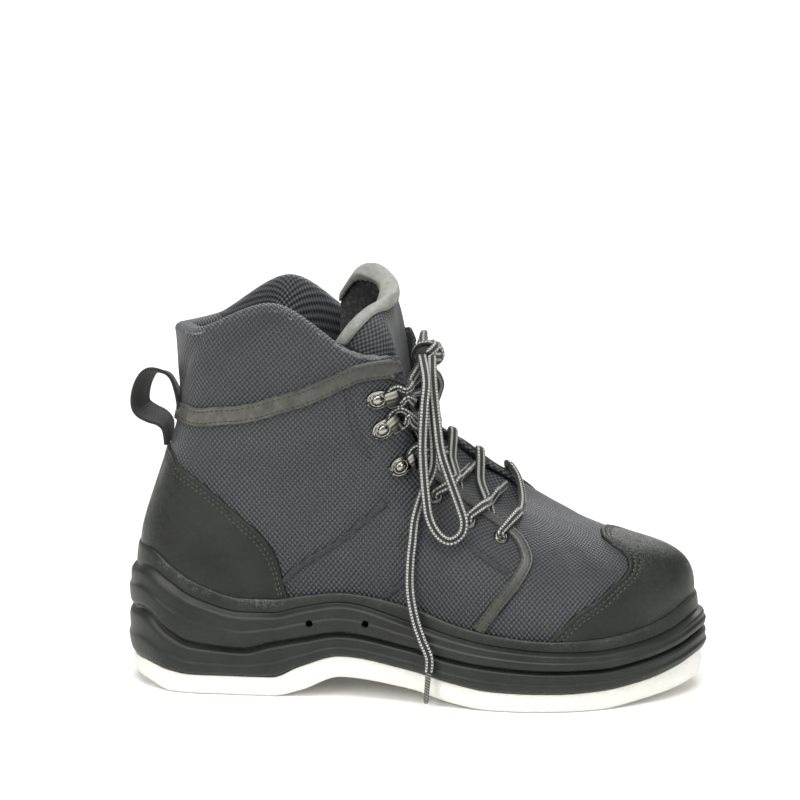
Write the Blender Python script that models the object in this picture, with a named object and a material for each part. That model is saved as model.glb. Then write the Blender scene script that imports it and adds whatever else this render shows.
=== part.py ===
"""Wading boot for the right foot: felt sole, rubber cup sole and a laced fabric and leather upper.

The boot stands on its sole with the toe along +X, the inner side of the foot along +Y and up along +Z.
The origin lies on the floor under the middle of the heel. All sizes are in metres.
"""
import math

import bmesh
import bpy
import numpy as np
from mathutils import Matrix, Vector

# Driving sizes of the sole
SOLE_LENGTH = 0.318
HEEL_REACH = 0.040
BALL_WIDTH = 0.119
HEEL_WIDTH = 0.084
SOLE_HEIGHT = 0.060
LIP_THICKNESS = 0.002
DRAIN_HOLE_RADIUS = 0.002

# Driving sizes of the upper
COLLAR_HEIGHT = 0.220
COLLAR_WIDTH = 0.086
WALL = 0.0025
COLLAR_PUFF = 0.0035
COLLAR_PAD = 0.0045
LEATHER = 0.0013
BINDING_THICKNESS = 0.0012
BINDING_WIDTH = 0.0105
EDGE_BINDING_WIDTH = 0.0058
TONGUE_THICKNESS = 0.0055
TONGUE_HEIGHT = 0.232
INSOLE_THICKNESS = 0.004

# Driving sizes of the fittings
EYELET_RADIUS = 0.0043
EYELET_HOLE_RADIUS = 0.0026
HOOK_LENGTH = 0.015
HOOK_WIDTH = 0.0085
HOOK_SHEET = 0.0011
LACE_DIAMETER = 0.0046
LOOP_WIDTH = 0.021
LOOP_THICKNESS = 0.0018

# Clearance between pieces that meet
GAP = 0.0003

# Fineness of the solids: steps along one side of the boot, and up the upper
ROUND_STEPS = 24
RISE_STEPS = 12

LATERAL = -1
MEDIAL = 1
MM = 0.001


def table(names, *rows):
    """A short table: each name becomes a column, and the first column is the one that is looked up."""
    return {name: [row[i] for row in rows] for i, name in enumerate(names.split())}


def slopes(xs, ys):
    """Slopes of a curve through the rows that never overshoots them, and is level at both ends."""
    steps = [(ys[i + 1] - ys[i]) / (xs[i + 1] - xs[i]) for i in range(len(xs) - 1)]
    result = [0.0]
    for before, after in zip(steps, steps[1:]):
        result.append(0.0 if before * after <= 0 else 2 * before * after / (before + after))
    result.append(0.0)
    return result


def read(rows, column, at):
    """Value of a column at a place between the rows, along a smooth curve."""
    names = list(rows)
    xs = rows[names[0]]
    ys = rows[column]
    at = min(max(at, xs[0]), xs[-1])
    i = 0
    while i < len(xs) - 2 and at > xs[i + 1]:
        i += 1
    ms = slopes(xs, ys)
    width = xs[i + 1] - xs[i]
    t = (at - xs[i]) / width
    start = (2 * t**3 - 3 * t**2 + 1) * ys[i] + (t**3 - 2 * t**2 + t) * width * ms[i]
    return start + (3 * t**2 - 2 * t**3) * ys[i + 1] + (t**3 - t**2) * width * ms[i + 1]


# The sole seen from above. along runs from the heel back to the toe tip, middle and half are shares of
# BALL_WIDTH: how far the middle of the sole lies towards the inner side, and half its width.
OUTLINE = table(
    "along middle half",
    (0.00, 0.000, 0.353),
    (0.14, 0.000, 0.353),
    (0.25, -0.010, 0.347),
    (0.38, -0.021, 0.332),
    (0.50, -0.021, 0.382),
    (0.63, -0.008, 0.471),
    (0.72, 0.013, 0.500),
    (0.82, 0.038, 0.487),
    (0.91, 0.063, 0.479),
    (1.00, 0.084, 0.471),
)
HEEL_ROUND = 0.142
HEEL_ROUND_POWER = 2.2
TOE_ROUND = 0.236
TOE_ROUND_POWER = 1.8

# Heights along the side of the sole, as shares of SOLE_HEIGHT: the felt's underside, the rubber's lower
# edge, the low and the high groove, the rubber's upper edge and the bed that the foot stands on.
SIDE = table(
    "along felt rubber low high top bed",
    (0.00, 0.08, 0.25, 0.70, 1.09, 1.31, 0.78),
    (0.03, 0.07, 0.25, 0.74, 1.15, 1.32, 0.77),
    (0.08, 0.00, 0.20, 0.56, 1.03, 1.18, 0.75),
    (0.12, 0.00, 0.18, 0.47, 0.91, 1.06, 0.74),
    (0.21, 0.00, 0.18, 0.43, 0.78, 0.91, 0.73),
    (0.26, 0.00, 0.18, 0.50, 0.78, 0.91, 0.74),
    (0.31, 0.06, 0.29, 0.55, 0.84, 0.95, 0.76),
    (0.38, 0.20, 0.40, 0.61, 0.90, 0.99, 0.78),
    (0.50, 0.14, 0.32, 0.53, 0.76, 0.90, 0.72),
    (0.58, 0.04, 0.23, 0.45, 0.66, 0.77, 0.61),
    (0.65, 0.00, 0.18, 0.41, 0.60, 0.70, 0.54),
    (0.76, 0.00, 0.17, 0.38, 0.55, 0.65, 0.50),
    (0.83, 0.00, 0.18, 0.38, 0.54, 0.655, 0.50),
    (0.91, 0.05, 0.23, 0.43, 0.58, 0.71, 0.54),
    (0.96, 0.08, 0.29, 0.49, 0.64, 0.79, 0.58),
    (1.00, 0.11, 0.35, 0.56, 0.72, 0.89, 0.62),
)

# The steps and ribs of the rubber side from bottom to top: the line that a row lies near, how far from
# that line to the next one (a share), and how far it stands out from the outline, in shares of LIP_THICKNESS.
STEPS = table(
    "row line share out",
    (0, "rubber", 0.00, -0.6),
    (1, "rubber", 0.10, 0.9),
    (2, "rubber", 0.40, 1.6),
    (3, "rubber", 0.52, 1.1),
    (4, "rubber", 0.88, 1.3),
    (5, "low", 0.00, -0.7),
    (6, "low", 0.12, 1.0),
    (7, "low", 0.48, 1.3),
    (8, "low", 0.58, 0.7),
    (9, "low", 0.88, 0.7),
    (10, "high", 0.00, -1.4),
    (11, "high", 0.16, -0.9),
    (12, "high", 0.85, -1.4),
    (13, "high", 1.00, -1.9),
)
NEXT_LINE = {"rubber": "low", "low": "high", "high": "top"}
# The cup's inner wall lies this far inside the outline, and the upper stands just inside it
LIP_INSET = 2.65 * LIP_THICKNESS
FEATHER_INSET = LIP_INSET + GAP


def end_round(along):
    """Share of the full width that is left near the two round ends of the sole."""
    share = 1.0
    if along < HEEL_ROUND:
        share *= (1 - (1 - along / HEEL_ROUND) ** HEEL_ROUND_POWER) ** (1 / HEEL_ROUND_POWER)
    if 1 - along < TOE_ROUND:
        share *= (1 - (1 - (1 - along) / TOE_ROUND) ** TOE_ROUND_POWER) ** (1 / TOE_ROUND_POWER)
    return share


def outline_at(around):
    """Point of the sole's outline. around runs 0 toe tip, 1 heel back by the outer side, 2 toe again."""
    side = LATERAL if around % 2 <= 1 else MEDIAL
    turn = around % 2 if around % 2 <= 1 else 2 - around % 2
    along = (1 + math.cos(math.pi * turn)) / 2
    half = read(OUTLINE, "half", along) * BALL_WIDTH
    heel_share = min(max((0.5 - along) / 0.25, 0), 1)
    half *= 1 + heel_share * (HEEL_WIDTH / (0.706 * BALL_WIDTH) - 1)
    middle = read(OUTLINE, "middle", along) * BALL_WIDTH
    return along, along * SOLE_LENGTH - HEEL_REACH, middle + side * half * end_round(along)


def outline(around, out=0.0):
    """Place along the sole, and the outline's point moved outwards by a distance."""
    step = 0.004
    along, x, y = outline_at(around)
    before = outline_at(around - step)
    after = outline_at(around + step)
    outwards = Vector((before[2] - after[2], after[1] - before[1], 0)).normalized()
    return along, Vector((x, y, 0)) + outwards * out, outwards


def ring(out, height, steps=ROUND_STEPS):
    """A closed ring of points round the sole, at a height that depends on the place along it."""
    points = []
    for i in range(2 * steps):
        along, point, _ = outline(i / steps, out)
        points.append(Vector((point.x, point.y, height(along))))
    return points


def side_height(column):
    return lambda along: read(SIDE, column, along) * SOLE_HEIGHT


def finish(mesh_builder, name, colour, roughness, metallic=0.0, smooth=40):
    """Turn a bmesh into a named object with its own material, its faces pointing out."""
    bmesh.ops.recalc_face_normals(mesh_builder, faces=mesh_builder.faces)
    if mesh_builder.calc_volume(signed=True) < 0:
        bmesh.ops.reverse_faces(mesh_builder, faces=mesh_builder.faces)
    mesh = bpy.data.meshes.new(name)
    mesh_builder.to_mesh(mesh)
    mesh_builder.free()
    mesh.shade_smooth()
    mesh.set_sharp_from_angle(angle=math.radians(smooth))
    return add_object(name, mesh, colour, roughness, metallic)


def material(name, colour, roughness, metallic):
    surface = bpy.data.materials.new(name)
    surface.use_nodes = True
    shader = surface.node_tree.nodes["Principled BSDF"]
    shader.inputs["Base Color"].default_value = (*colour, 1)
    shader.inputs["Roughness"].default_value = roughness
    shader.inputs["Metallic"].default_value = metallic
    return surface


def add_object(name, data, colour, roughness, metallic=0.0):
    piece = bpy.data.objects.new(name, data)
    bpy.context.scene.collection.objects.link(piece)
    data.materials.clear()
    data.materials.append(material(name + "_finish", colour, roughness, metallic))
    return piece


def ring_solid(rings, name, colour, roughness):
    """A closed solid from rings that all have the same number of points, the first and last one capped
    by rungs from side to side."""
    builder = bmesh.new()
    loops = [[builder.verts.new(point) for point in points] for points in rings]
    count = len(loops[0])
    for low, high in zip(loops, loops[1:]):
        for i in range(count):
            builder.faces.new((low[i], low[(i + 1) % count], high[(i + 1) % count], high[i]))
    half = count // 2
    for loop in (loops[0], loops[-1]):
        builder.faces.new((loop[0], loop[1], loop[-1]))
        for i in range(1, half - 1):
            builder.faces.new((loop[i], loop[i + 1], loop[-i - 1], loop[-i]))
        builder.faces.new((loop[half - 1], loop[half], loop[half + 1]))
    return finish(builder, name, colour, roughness)


def sheet_solid(outer, inner, name, colour, roughness, closed=False, metallic=0.0, edge=None):
    """A closed solid between two grids of points. closed joins the last column to the first one. edge is
    one more row of points along the last row's rim, which rounds it."""
    builder = bmesh.new()
    front = [[builder.verts.new(point) for point in column] for column in outer]
    back = [[builder.verts.new(point) for point in column] for column in inner]
    crest = [builder.verts.new(point) for point in edge] if edge else None
    columns = len(front)
    rows = len(front[0])
    for i in range(columns if closed else columns - 1):
        k = (i + 1) % columns
        for j in range(rows - 1):
            for grid in (front, back):
                builder.faces.new((grid[i][j], grid[k][j], grid[k][j + 1]))
                builder.faces.new((grid[i][j], grid[k][j + 1], grid[i][j + 1]))
        builder.faces.new((front[i][0], back[i][0], back[k][0], front[k][0]))
        if crest:
            builder.faces.new((front[i][-1], front[k][-1], crest[k], crest[i]))
            builder.faces.new((crest[i], crest[k], back[k][-1], back[i][-1]))
        else:
            builder.faces.new((front[i][-1], front[k][-1], back[k][-1], back[i][-1]))
    if not closed:
        for i in (0, columns - 1):
            for j in range(rows - 1):
                builder.faces.new((front[i][j], front[i][j + 1], back[i][j + 1], back[i][j]))
    if crest and not closed:
        for i in (0, columns - 1):
            builder.faces.new((front[i][-1], crest[i], back[i][-1]))
    return finish(builder, name, colour, roughness, metallic)


def cut(piece, cutters):
    """Give a piece modifiers that take the cutters out of it."""
    for cutter in cutters:
        cutter.hide_render = True
        cutter.display_type = "WIRE"
        modifier = piece.modifiers.new("cut", "BOOLEAN")
        modifier.operation = "DIFFERENCE"
        modifier.object = cutter


def rod(name, centre, axis, radius, length, sides=12):
    """A short straight cylinder, used as a cutter."""
    builder = bmesh.new()
    turn = Vector((0, 0, 1)).rotation_difference(axis).to_matrix().to_4x4()
    place = Matrix.Translation(centre) @ turn
    bmesh.ops.create_cone(builder, cap_ends=True, segments=sides, radius1=radius, radius2=radius,
                          depth=length, matrix=place)
    mesh = bpy.data.meshes.new(name)
    builder.to_mesh(mesh)
    builder.free()
    piece = bpy.data.objects.new(name, mesh)
    bpy.context.scene.collection.objects.link(piece)
    return piece


# Sole


def make_felt():
    """The felt tread under the whole foot, with a softened lower edge."""
    def between(share):
        def height(along):
            low = read(SIDE, "felt", along) * SOLE_HEIGHT
            high = low + (read(SIDE, "rubber", along) * SOLE_HEIGHT - low) * share
            return high
        return height

    def lid(along):
        return read(SIDE, "rubber", along) * SOLE_HEIGHT - GAP

    rings = [
        ring(-1.4 * MM, between(0.0)),
        ring(0.0, between(0.14)),
        ring(0.4 * MM, between(0.55)),
        ring(0.0, lid),
    ]
    return ring_solid(rings, "felt_outsole", (0.80, 0.78, 0.72), 0.95)


def step_height(line, share):
    def height(along):
        low = read(SIDE, line, along)
        high = read(SIDE, NEXT_LINE[line], along)
        return (low + (high - low) * share) * SOLE_HEIGHT
    return height


# Drain holes: places round the edge, share of the way up the middle tier, and how deep they are cut
DRAIN_HOLES = (0.547, 0.612)
DRAIN_HEIGHT = 0.5
DRAIN_DEPTH = 5.6 * LIP_THICKNESS


def make_cup_sole():
    """The rubber cup: three tiers with two grooves, and a lip that holds the upper."""
    rings = []
    for line, share, out in zip(STEPS["line"], STEPS["share"], STEPS["out"]):
        rings.append(ring(out * LIP_THICKNESS, step_height(line, share)))
    rings.append(ring(-LIP_INSET, lambda along: read(SIDE, "top", along) * SOLE_HEIGHT - 0.2 * MM))
    rings.append(ring(-LIP_INSET, side_height("bed")))
    sole = ring_solid(rings, "cup_sole", (0.035, 0.036, 0.035), 0.55)
    cutters = []
    for place in DRAIN_HOLES:
        for around in (place, 2 - place):
            _, point, out = outline(around)
            height = step_height("low", DRAIN_HEIGHT)(outline_at(around)[0])
            centre = Vector((point.x, point.y, height))
            cutters.append(rod("drain_cutter", centre, out, DRAIN_HOLE_RADIUS, DRAIN_DEPTH))
    cut(sole, cutters)
    return sole


# Upper: the top edge from the throat's lower end (turn 0) by the throat's corner to the collar's back
# (turn 1). forward is in shares of SOLE_LENGTH, outer and inner (the two sides of the edge) in shares of
# COLLAR_WIDTH, and height in shares of COLLAR_HEIGHT. tilt is added to height on the inner side.
TOP = table(
    "turn forward outer inner height tilt",
    (0.00, 0.568, -0.02, -0.02, 0.470, 0.000),
    (0.10, 0.566, -0.14, 0.11, 0.464, 0.010),
    (0.20, 0.555, -0.235, 0.20, 0.452, 0.044),
    (0.30, 0.512, -0.265, 0.225, 0.470, 0.072),
    (0.40, 0.455, -0.275, 0.235, 0.534, 0.066),
    (0.50, 0.380, -0.330, 0.310, 0.655, 0.030),
    (0.60, 0.352, -0.420, 0.400, 0.872, 0.010),
    (0.65, 0.308, -0.465, 0.450, 0.870, 0.005),
    (0.70, 0.255, -0.490, 0.480, 0.895, 0.000),
    (0.80, 0.135, -0.500, 0.495, 0.990, 0.005),
    (0.90, 0.012, -0.390, 0.380, 0.920, -0.020),
    (1.00, -0.038, 0.000, 0.000, 0.905, 0.000),
)
# The way each section leaves the sole and meets the top edge: how high it rises (COLLAR_HEIGHT) and swells
# outwards (SOLE_LENGTH) on leaving, and how far ahead (SOLE_LENGTH), to the side (COLLAR_WIDTH) and below
# (COLLAR_HEIGHT) of the edge it comes from
SECTION = table(
    "turn rise swell lead spread drop",
    (0.00, 0.165, 0.006, 0.165, 0.00, 0.115),
    (0.10, 0.155, 0.008, 0.150, 0.07, 0.110),
    (0.20, 0.140, 0.010, 0.110, 0.16, 0.095),
    (0.30, 0.135, 0.012, 0.050, 0.19, 0.085),
    (0.40, 0.150, 0.014, 0.020, 0.15, 0.095),
    (0.50, 0.200, 0.014, 0.000, 0.06, 0.170),
    (0.60, 0.200, 0.010, -0.020, 0.02, 0.230),
    (0.70, 0.190, 0.006, -0.045, -0.07, 0.250),
    (0.80, 0.170, 0.004, -0.035, -0.14, 0.280),
    (0.90, 0.120, -0.002, 0.010, -0.12, 0.250),
    (1.00, 0.100, -0.001, 0.025, 0.00, 0.220),
)
# Where the ankle strip crosses each section, as a share of the way up it
ANKLE_STRIP = table(
    "turn height",
    (0.58, 0.955),
    (0.62, 0.955),
    (0.65, 0.940),
    (0.70, 0.850),
    (0.75, 0.735),
    (0.80, 0.665),
    (0.86, 0.665),
    (0.94, 0.690),
    (1.00, 0.670),
)


def split(around):
    """The side of the boot, and the way from the toe tip (0) to the heel back (1) along it."""
    around = around % 2
    if around <= 1:
        return LATERAL, around
    return MEDIAL, 2 - around


def section(around):
    """The four control points of the upper's section that starts at a place round the sole's edge."""
    side, turn = split(around)
    along, foot, out = outline(around, -FEATHER_INSET)
    start = Vector((foot.x, foot.y, read(SIDE, "top", along) * SOLE_HEIGHT))
    column = "outer" if side == LATERAL else "inner"
    height = read(TOP, "height", turn)
    if side == MEDIAL:
        height += read(TOP, "tilt", turn)
    end = Vector((
        read(TOP, "forward", turn) * SOLE_LENGTH,
        read(TOP, column, turn) * COLLAR_WIDTH,
        height * COLLAR_HEIGHT,
    ))
    leave = start + out * (read(SECTION, "swell", turn) * SOLE_LENGTH)
    leave.z += read(SECTION, "rise", turn) * COLLAR_HEIGHT
    meet = end + Vector((
        read(SECTION, "lead", turn) * SOLE_LENGTH,
        side * read(SECTION, "spread", turn) * COLLAR_WIDTH,
        -read(SECTION, "drop", turn) * COLLAR_HEIGHT,
    ))
    return start, leave, meet, end


SECTIONS = {}


def base(around, up):
    """Point of the upper's plain outside. up is 0 at the rubber's lip and 1 at the top edge; below the
    lip the wall drops straight to the bed, which it reaches at -1."""
    key = round(around % 2, 5)
    if key not in SECTIONS:
        SECTIONS[key] = section(around)
    start, leave, meet, end = SECTIONS[key]
    if up < 0:
        along = (1 + math.cos(math.pi * split(around)[1])) / 2
        bed = read(SIDE, "bed", along) * SOLE_HEIGHT + GAP
        return Vector((start.x, start.y, start.z + (bed - start.z) * -up))
    a, b = 1 - up, up
    return a**3 * start + 3 * a * a * b * leave + 3 * a * b * b * meet + b**3 * end


def outward(around, up):
    """Direction that points out of the upper's surface."""
    step = 0.004
    low = max(up - step, 0.0)
    high = min(up + step, 1.0)
    if up < 0:
        return outline(around)[2]
    run = base(around + step, up) - base(around - step, up)
    rise = base(around, high) - base(around, low)
    return run.cross(rise).normalized() * -1


def smooth_step(value):
    value = min(max(value, 0.0), 1.0)
    return value * value * (3 - 2 * value)


def puff(around, up):
    """How full the padded collar is here: 0 below the ankle strip and 1 over it."""
    turn = split(around)[1]
    if turn < ANKLE_STRIP["turn"][0]:
        return 0.0
    strip = read(ANKLE_STRIP, "height", turn)
    side_share = smooth_step((turn - 0.62) / 0.12)
    return side_share * smooth_step((up - strip) / 0.22)


def skin(around, up, lift=0.0):
    """Point at a distance from the upper's real outside, the collar's padding included."""
    return base(around, up) + outward(around, up) * (lift + puff(around, up) * COLLAR_PUFF)


def lining(around, up):
    """Point of the upper's inside."""
    return base(around, up) - outward(around, up) * (WALL + puff(around, up) * COLLAR_PAD)


# Eyelets and hooks from the toe upwards: place round the edge on the outer side and share of the way up
EYELETS = table(
    "number turn up",
    (1, 0.332, 0.755),
    (2, 0.400, 0.74),
    (3, 0.456, 0.79),
)
# Hooks also hold the place on the throat's edge that they point at, where their lace passes over it, and
# how far their plate stands off the upper, in metres
HOOKS = table(
    "number turn up aim rim lift",
    (1, 0.524, 0.795, 0.462, 0.480, 0.0012),
    (2, 0.577, 0.765, 0.545, 0.515, 0.0005),
    (3, 0.606, 0.850, 0.555, 0.547, 0.0003),
)


def eyelet_places():
    places = []
    for turn, up in zip(EYELETS["turn"], EYELETS["up"]):
        places.append((turn, up))
        places.append((2 - turn, up))
    return places


def upper_rows():
    return [-1.0, -0.02] + [j / RISE_STEPS for j in range(RISE_STEPS + 1)]


def make_upper():
    """The hollow upper: one wall from the bed to the throat and the collar, with its eyelet holes."""
    rows = upper_rows()
    places = [i / ROUND_STEPS for i in range(2 * ROUND_STEPS)]
    outer = [[skin(a, up) for up in rows] for a in places]
    inner = [[lining(a, up) for up in rows] for a in places]
    crest = []
    for a in places:
        rim = (base(a, 1.0) - base(a, 0.97)).normalized()
        thickness = (skin(a, 1.0) - lining(a, 1.0)).length
        crest.append((skin(a, 1.0) + lining(a, 1.0)) / 2 + rim * thickness * 0.3)
    upper = sheet_solid(outer, inner, "upper", (0.11, 0.115, 0.14), 0.8, closed=True, edge=crest)
    cutters = []
    for around, up in eyelet_places():
        cutters.append(rod("eyelet_cutter", skin(around, up), outward(around, up),
                           EYELET_HOLE_RADIUS, 8 * WALL))
    cut(upper, cutters)
    return upper


def make_insole():
    """The insole inside the upper's wall, on the cup's bed."""
    inset = FEATHER_INSET + WALL + GAP
    rings = []
    for share, more in ((0.0, 0.0), (0.7, 0.0), (1.0, 0.3)):
        def height(along, share=share):
            return read(SIDE, "bed", along) * SOLE_HEIGHT + GAP + INSOLE_THICKNESS * share
        rings.append(ring(-inset - more * INSOLE_THICKNESS, height))
    return ring_solid(rings, "insole", (0.05, 0.05, 0.055), 0.9)


# Overlays that lie on the upper


# The overlays start just above the rubber's lip, as a share of the way up
LIP_CLEARANCE = 0.012


def overlay(name, inside, thickness, colour, roughness):
    """A cover cut out of the space between two larger forms of the upper. inside(around, up) is positive
    where the cover lies; its edge is found along the sides of the upper's own facets."""
    rows = [up for up in upper_rows() if up >= 0]
    rows[0] = LIP_CLEARANCE
    count = 2 * ROUND_STEPS

    def place(node):
        return node[0] / ROUND_STEPS, rows[node[1]]

    def crossing(first, second):
        a, b = place(first), place(second)
        low, high = (0.0, 1.0) if inside(*a) > 0 else (1.0, 0.0)
        for _ in range(20):
            middle = (low + high) / 2
            spot = [p + (q - p) * middle for p, q in zip(a, b)]
            if inside(*spot) > 0:
                low = middle
            else:
                high = middle
        return (low + high) / 2

    builder = bmesh.new()
    made = {}

    def vertex(key, layer):
        if (key, layer) not in made:
            lift = GAP + thickness * layer
            if len(key) == 1:
                point = skin(*place(key[0]), lift)
            else:
                first, second = key
                share = crossing(first, second)
                point = skin(*place(first), lift).lerp(skin(*place(second), lift), share)
            made[(key, layer)] = builder.verts.new(point)
        return made[(key, layer)]

    borders = {}
    for i in range(count):
        for j in range(len(rows) - 1):
            corners = ((i, j), (i + 1, j), (i + 1, j + 1), (i, j + 1))
            for triangle in ((0, 1, 2), (0, 2, 3)):
                nodes = [corners[k] for k in triangle]
                signs = [inside(*place(node)) > 0 for node in nodes]
                shape = []
                for k in range(3):
                    node, after = nodes[k], nodes[(k + 1) % 3]
                    if signs[k]:
                        shape.append((node,))
                    if signs[k] != signs[(k + 1) % 3]:
                        shape.append((node, after) if node < after else (after, node))
                if len(shape) < 3:
                    continue
                shape = [tuple((n[0] % count, n[1]) for n in key) for key in shape]
                builder.faces.new([vertex(key, 1) for key in shape])
                builder.faces.new([vertex(key, 0) for key in reversed(shape)])
                for k in range(len(shape)):
                    edge = (shape[k], shape[(k + 1) % len(shape)])
                    if edge[::-1] in borders:
                        del borders[edge[::-1]]
                    else:
                        borders[edge] = True
    for first, second in borders:
        builder.faces.new((vertex(first, 0), vertex(second, 0), vertex(second, 1), vertex(first, 1)))
    return finish(builder, name, colour, roughness)


# Upper edges of the toe cap and of the heel counter: the share of the way up at places round the edge
TOE_CAP = table(
    "turn height",
    (0.00, 0.72),
    (0.06, 0.70),
    (0.10, 0.63),
    (0.13, 0.51),
    (0.17, 0.42),
    (0.213, 0.36),
    (0.256, 0.265),
    (0.294, 0.175),
    (0.338, 0.00),
    (0.36, -0.10),
)
COUNTER = table(
    "turn height",
    (0.62, -0.15),
    (0.638, 0.00),
    (0.656, 0.16),
    (0.675, 0.24),
    (0.706, 0.31),
    (0.75, 0.355),
    (0.80, 0.39),
    (0.85, 0.43),
    (0.938, 0.52),
    (1.00, 0.53),
)


def make_toe_cap():
    """Leather toe cap with its waved upper edge."""
    def inside(around, up):
        return read(TOE_CAP, "height", split(around)[1]) - up

    return overlay("toe_cap", inside, LEATHER, (0.030, 0.033, 0.031), 0.5)


def make_counter():
    """Leather heel counter."""
    def inside(around, up):
        return read(COUNTER, "height", split(around)[1]) - up

    return overlay("heel_counter", inside, LEATHER, (0.030, 0.033, 0.031), 0.5)


def laid(around, up, lift):
    """Point on the upper's own facets, moved out by a distance."""
    spot = (around % 2) * ROUND_STEPS
    i = int(math.floor(spot))
    rise = min(max(up, 0.0), 1.0) * RISE_STEPS
    j = min(int(math.floor(rise)), RISE_STEPS - 1)
    u, v = spot - i, rise - j

    def corner(di, dj):
        return skin((i + di) / ROUND_STEPS, (j + dj) / RISE_STEPS, lift)

    if u >= v:
        return corner(0, 0) * (1 - u) + corner(1, 0) * (u - v) + corner(1, 1) * v
    return corner(0, 0) * (1 - v) + corner(1, 1) * u + corner(0, 1) * (v - u)


def smooth_path(points, spacing):
    """Places along a smooth curve through points, a given distance apart."""
    points = [Vector(point) for point in points]
    fine = []
    for i in range(len(points) - 1):
        before = points[max(i - 1, 0)]
        start, end = points[i], points[i + 1]
        after = points[min(i + 2, len(points) - 1)]
        for k in range(12):
            t = k / 12
            fine.append(0.5 * (2 * start + (end - before) * t
                               + (2 * before - 5 * start + 4 * end - after) * t * t
                               + (3 * start - before - 3 * end + after) * t**3))
    fine.append(points[-1])
    lengths = [0.0]
    for a, b in zip(fine, fine[1:]):
        lengths.append(lengths[-1] + (b - a).length)
    count = max(2, round(lengths[-1] / spacing))
    result = []
    k = 0
    for step in range(count + 1):
        target = lengths[-1] * step / count
        while k < len(fine) - 2 and lengths[k + 1] < target:
            k += 1
        share = (target - lengths[k]) / (lengths[k + 1] - lengths[k])
        result.append(fine[k].lerp(fine[k + 1], min(max(share, 0.0), 1.0)))
    return result


# How far the bindings lie off the upper's facets
STRIP_LIFT = 3 * GAP


def strip(name, route, width, thickness, lift, colour, roughness, steps=3):
    """A band that follows a route over the upper. The route is a table of places round the edge and
    shares of the way up."""
    path = []
    for first in range(len(route["turn"]) - 1):
        for k in range(steps):
            t = k / steps
            path.append((read(route, "turn", first + t), read(route, "up", first + t)))
    path.append((route["turn"][-1], route["up"][-1]))
    outer, inner = [], []
    for k, (turn, up) in enumerate(path):
        before = path[max(k - 1, 0)]
        after = path[min(k + 1, len(path) - 1)]
        run = (base(*after) - base(*before)).normalized()
        across = outward(turn, up).cross(run).normalized()
        step = 0.01
        by_turn = (base(turn + step, up) - base(turn - step, up)) / (2 * step)
        by_up = (base(turn, up + step) - base(turn, up - step)) / (2 * step)
        columns = np.array([list(by_turn), list(by_up)]).T
        shift, _, _, _ = np.linalg.lstsq(columns, np.array(list(across)), rcond=None)
        spots = []
        for share in (-0.5, 0.0, 0.5):
            spots.append((turn + shift[0] * width * share, up + shift[1] * width * share))
        outer.append([laid(*spot, lift + thickness) for spot in spots])
        inner.append([laid(*spot, lift) for spot in spots])
    return sheet_solid(outer, inner, name, colour, roughness)


def make_ankle_strip():
    """The binding strip that runs round the ankle under the padded collar."""
    turns = [0.595, 0.64, 0.68, 0.73, 0.79, 0.85, 0.92, 1.0, 1.08, 1.15, 1.21, 1.27, 1.32, 1.36, 1.405]
    route = {
        "order": list(range(len(turns))),
        "turn": turns,
        "up": [read(ANKLE_STRIP, "height", split(turn)[1]) for turn in turns],
    }
    strip("ankle_strip", route, BINDING_WIDTH, BINDING_THICKNESS, STRIP_LIFT, (0.13, 0.125, 0.11), 0.6)


# The binding along the quarter's edge on each side: from the top of the throat down to its lower corner,
# and down the quarter's front edge to the sole
QUARTER_EDGE = table(
    "order turn up",
    (0, 0.470, 0.950),
    (1, 0.420, 0.950),
    (2, 0.365, 0.945),
    (3, 0.315, 0.925),
    (4, 0.285, 0.820),
    (5, 0.305, 0.640),
    (6, 0.350, 0.430),
    (7, 0.394, 0.200),
    (8, 0.418, 0.040),
)


def make_quarter_bindings():
    for name, mirror in (("quarter_binding_outer", False), ("quarter_binding_inner", True)):
        route = dict(QUARTER_EDGE)
        if mirror:
            route["turn"] = [2 - turn for turn in route["turn"]]
        strip(name, route, EDGE_BINDING_WIDTH, BINDING_THICKNESS, STRIP_LIFT, (0.12, 0.115, 0.10), 0.6)


# Tongue

# The nine columns of the tongue from its outer to its inner wing, where it lies under the upper
TONGUE_TIP = table(
    "column turn up",
    (0, 0.2083, 0.80),
    (1, 0.2083, 0.87),
    (2, 0.1667, 0.91),
    (3, 0.0833, 0.93),
    (4, 0.0000, 0.935),
    (5, -0.0833, 0.93),
    (6, -0.1667, 0.91),
    (7, -0.2083, 0.87),
    (8, -0.2083, 0.80),
)
TONGUE_WING = (0.86, 0.93, 1.0)
TONGUE_INNER_WING = (0.80, 0.88, 0.95)
TONGUE_CLEARANCE = 0.0012
TONGUE_TIP_DROP = 0.0018
TONGUE_CROWN = 0.004
TONGUE_FIRST = 6
TONGUE_LAST = 14
# The free top of the tongue, as shares of SOLE_LENGTH, COLLAR_WIDTH and TONGUE_HEIGHT
TONGUE_TOP = table(
    "column forward across height",
    (0, 0.247, -0.295, 0.850),
    (1, 0.273, -0.290, 0.897),
    (2, 0.298, -0.240, 0.925),
    (3, 0.322, -0.145, 0.943),
    (4, 0.336, -0.015, 0.957),
    (5, 0.326, 0.110, 0.977),
    (6, 0.298, 0.215, 0.996),
    (7, 0.264, 0.290, 0.985),
    (8, 0.236, 0.350, 0.925),
)
TONGUE_FLAP_STEPS = 5
TONGUE_BINDING_DEPTH = 0.008
BINDING_LIFT = 3 * GAP


def under(around, up, more=0.0):
    """Point of the tongue's face where the upper covers it."""
    return base(around, up) - outward(around, up) * (WALL + TONGUE_CLEARANCE + more)


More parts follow.
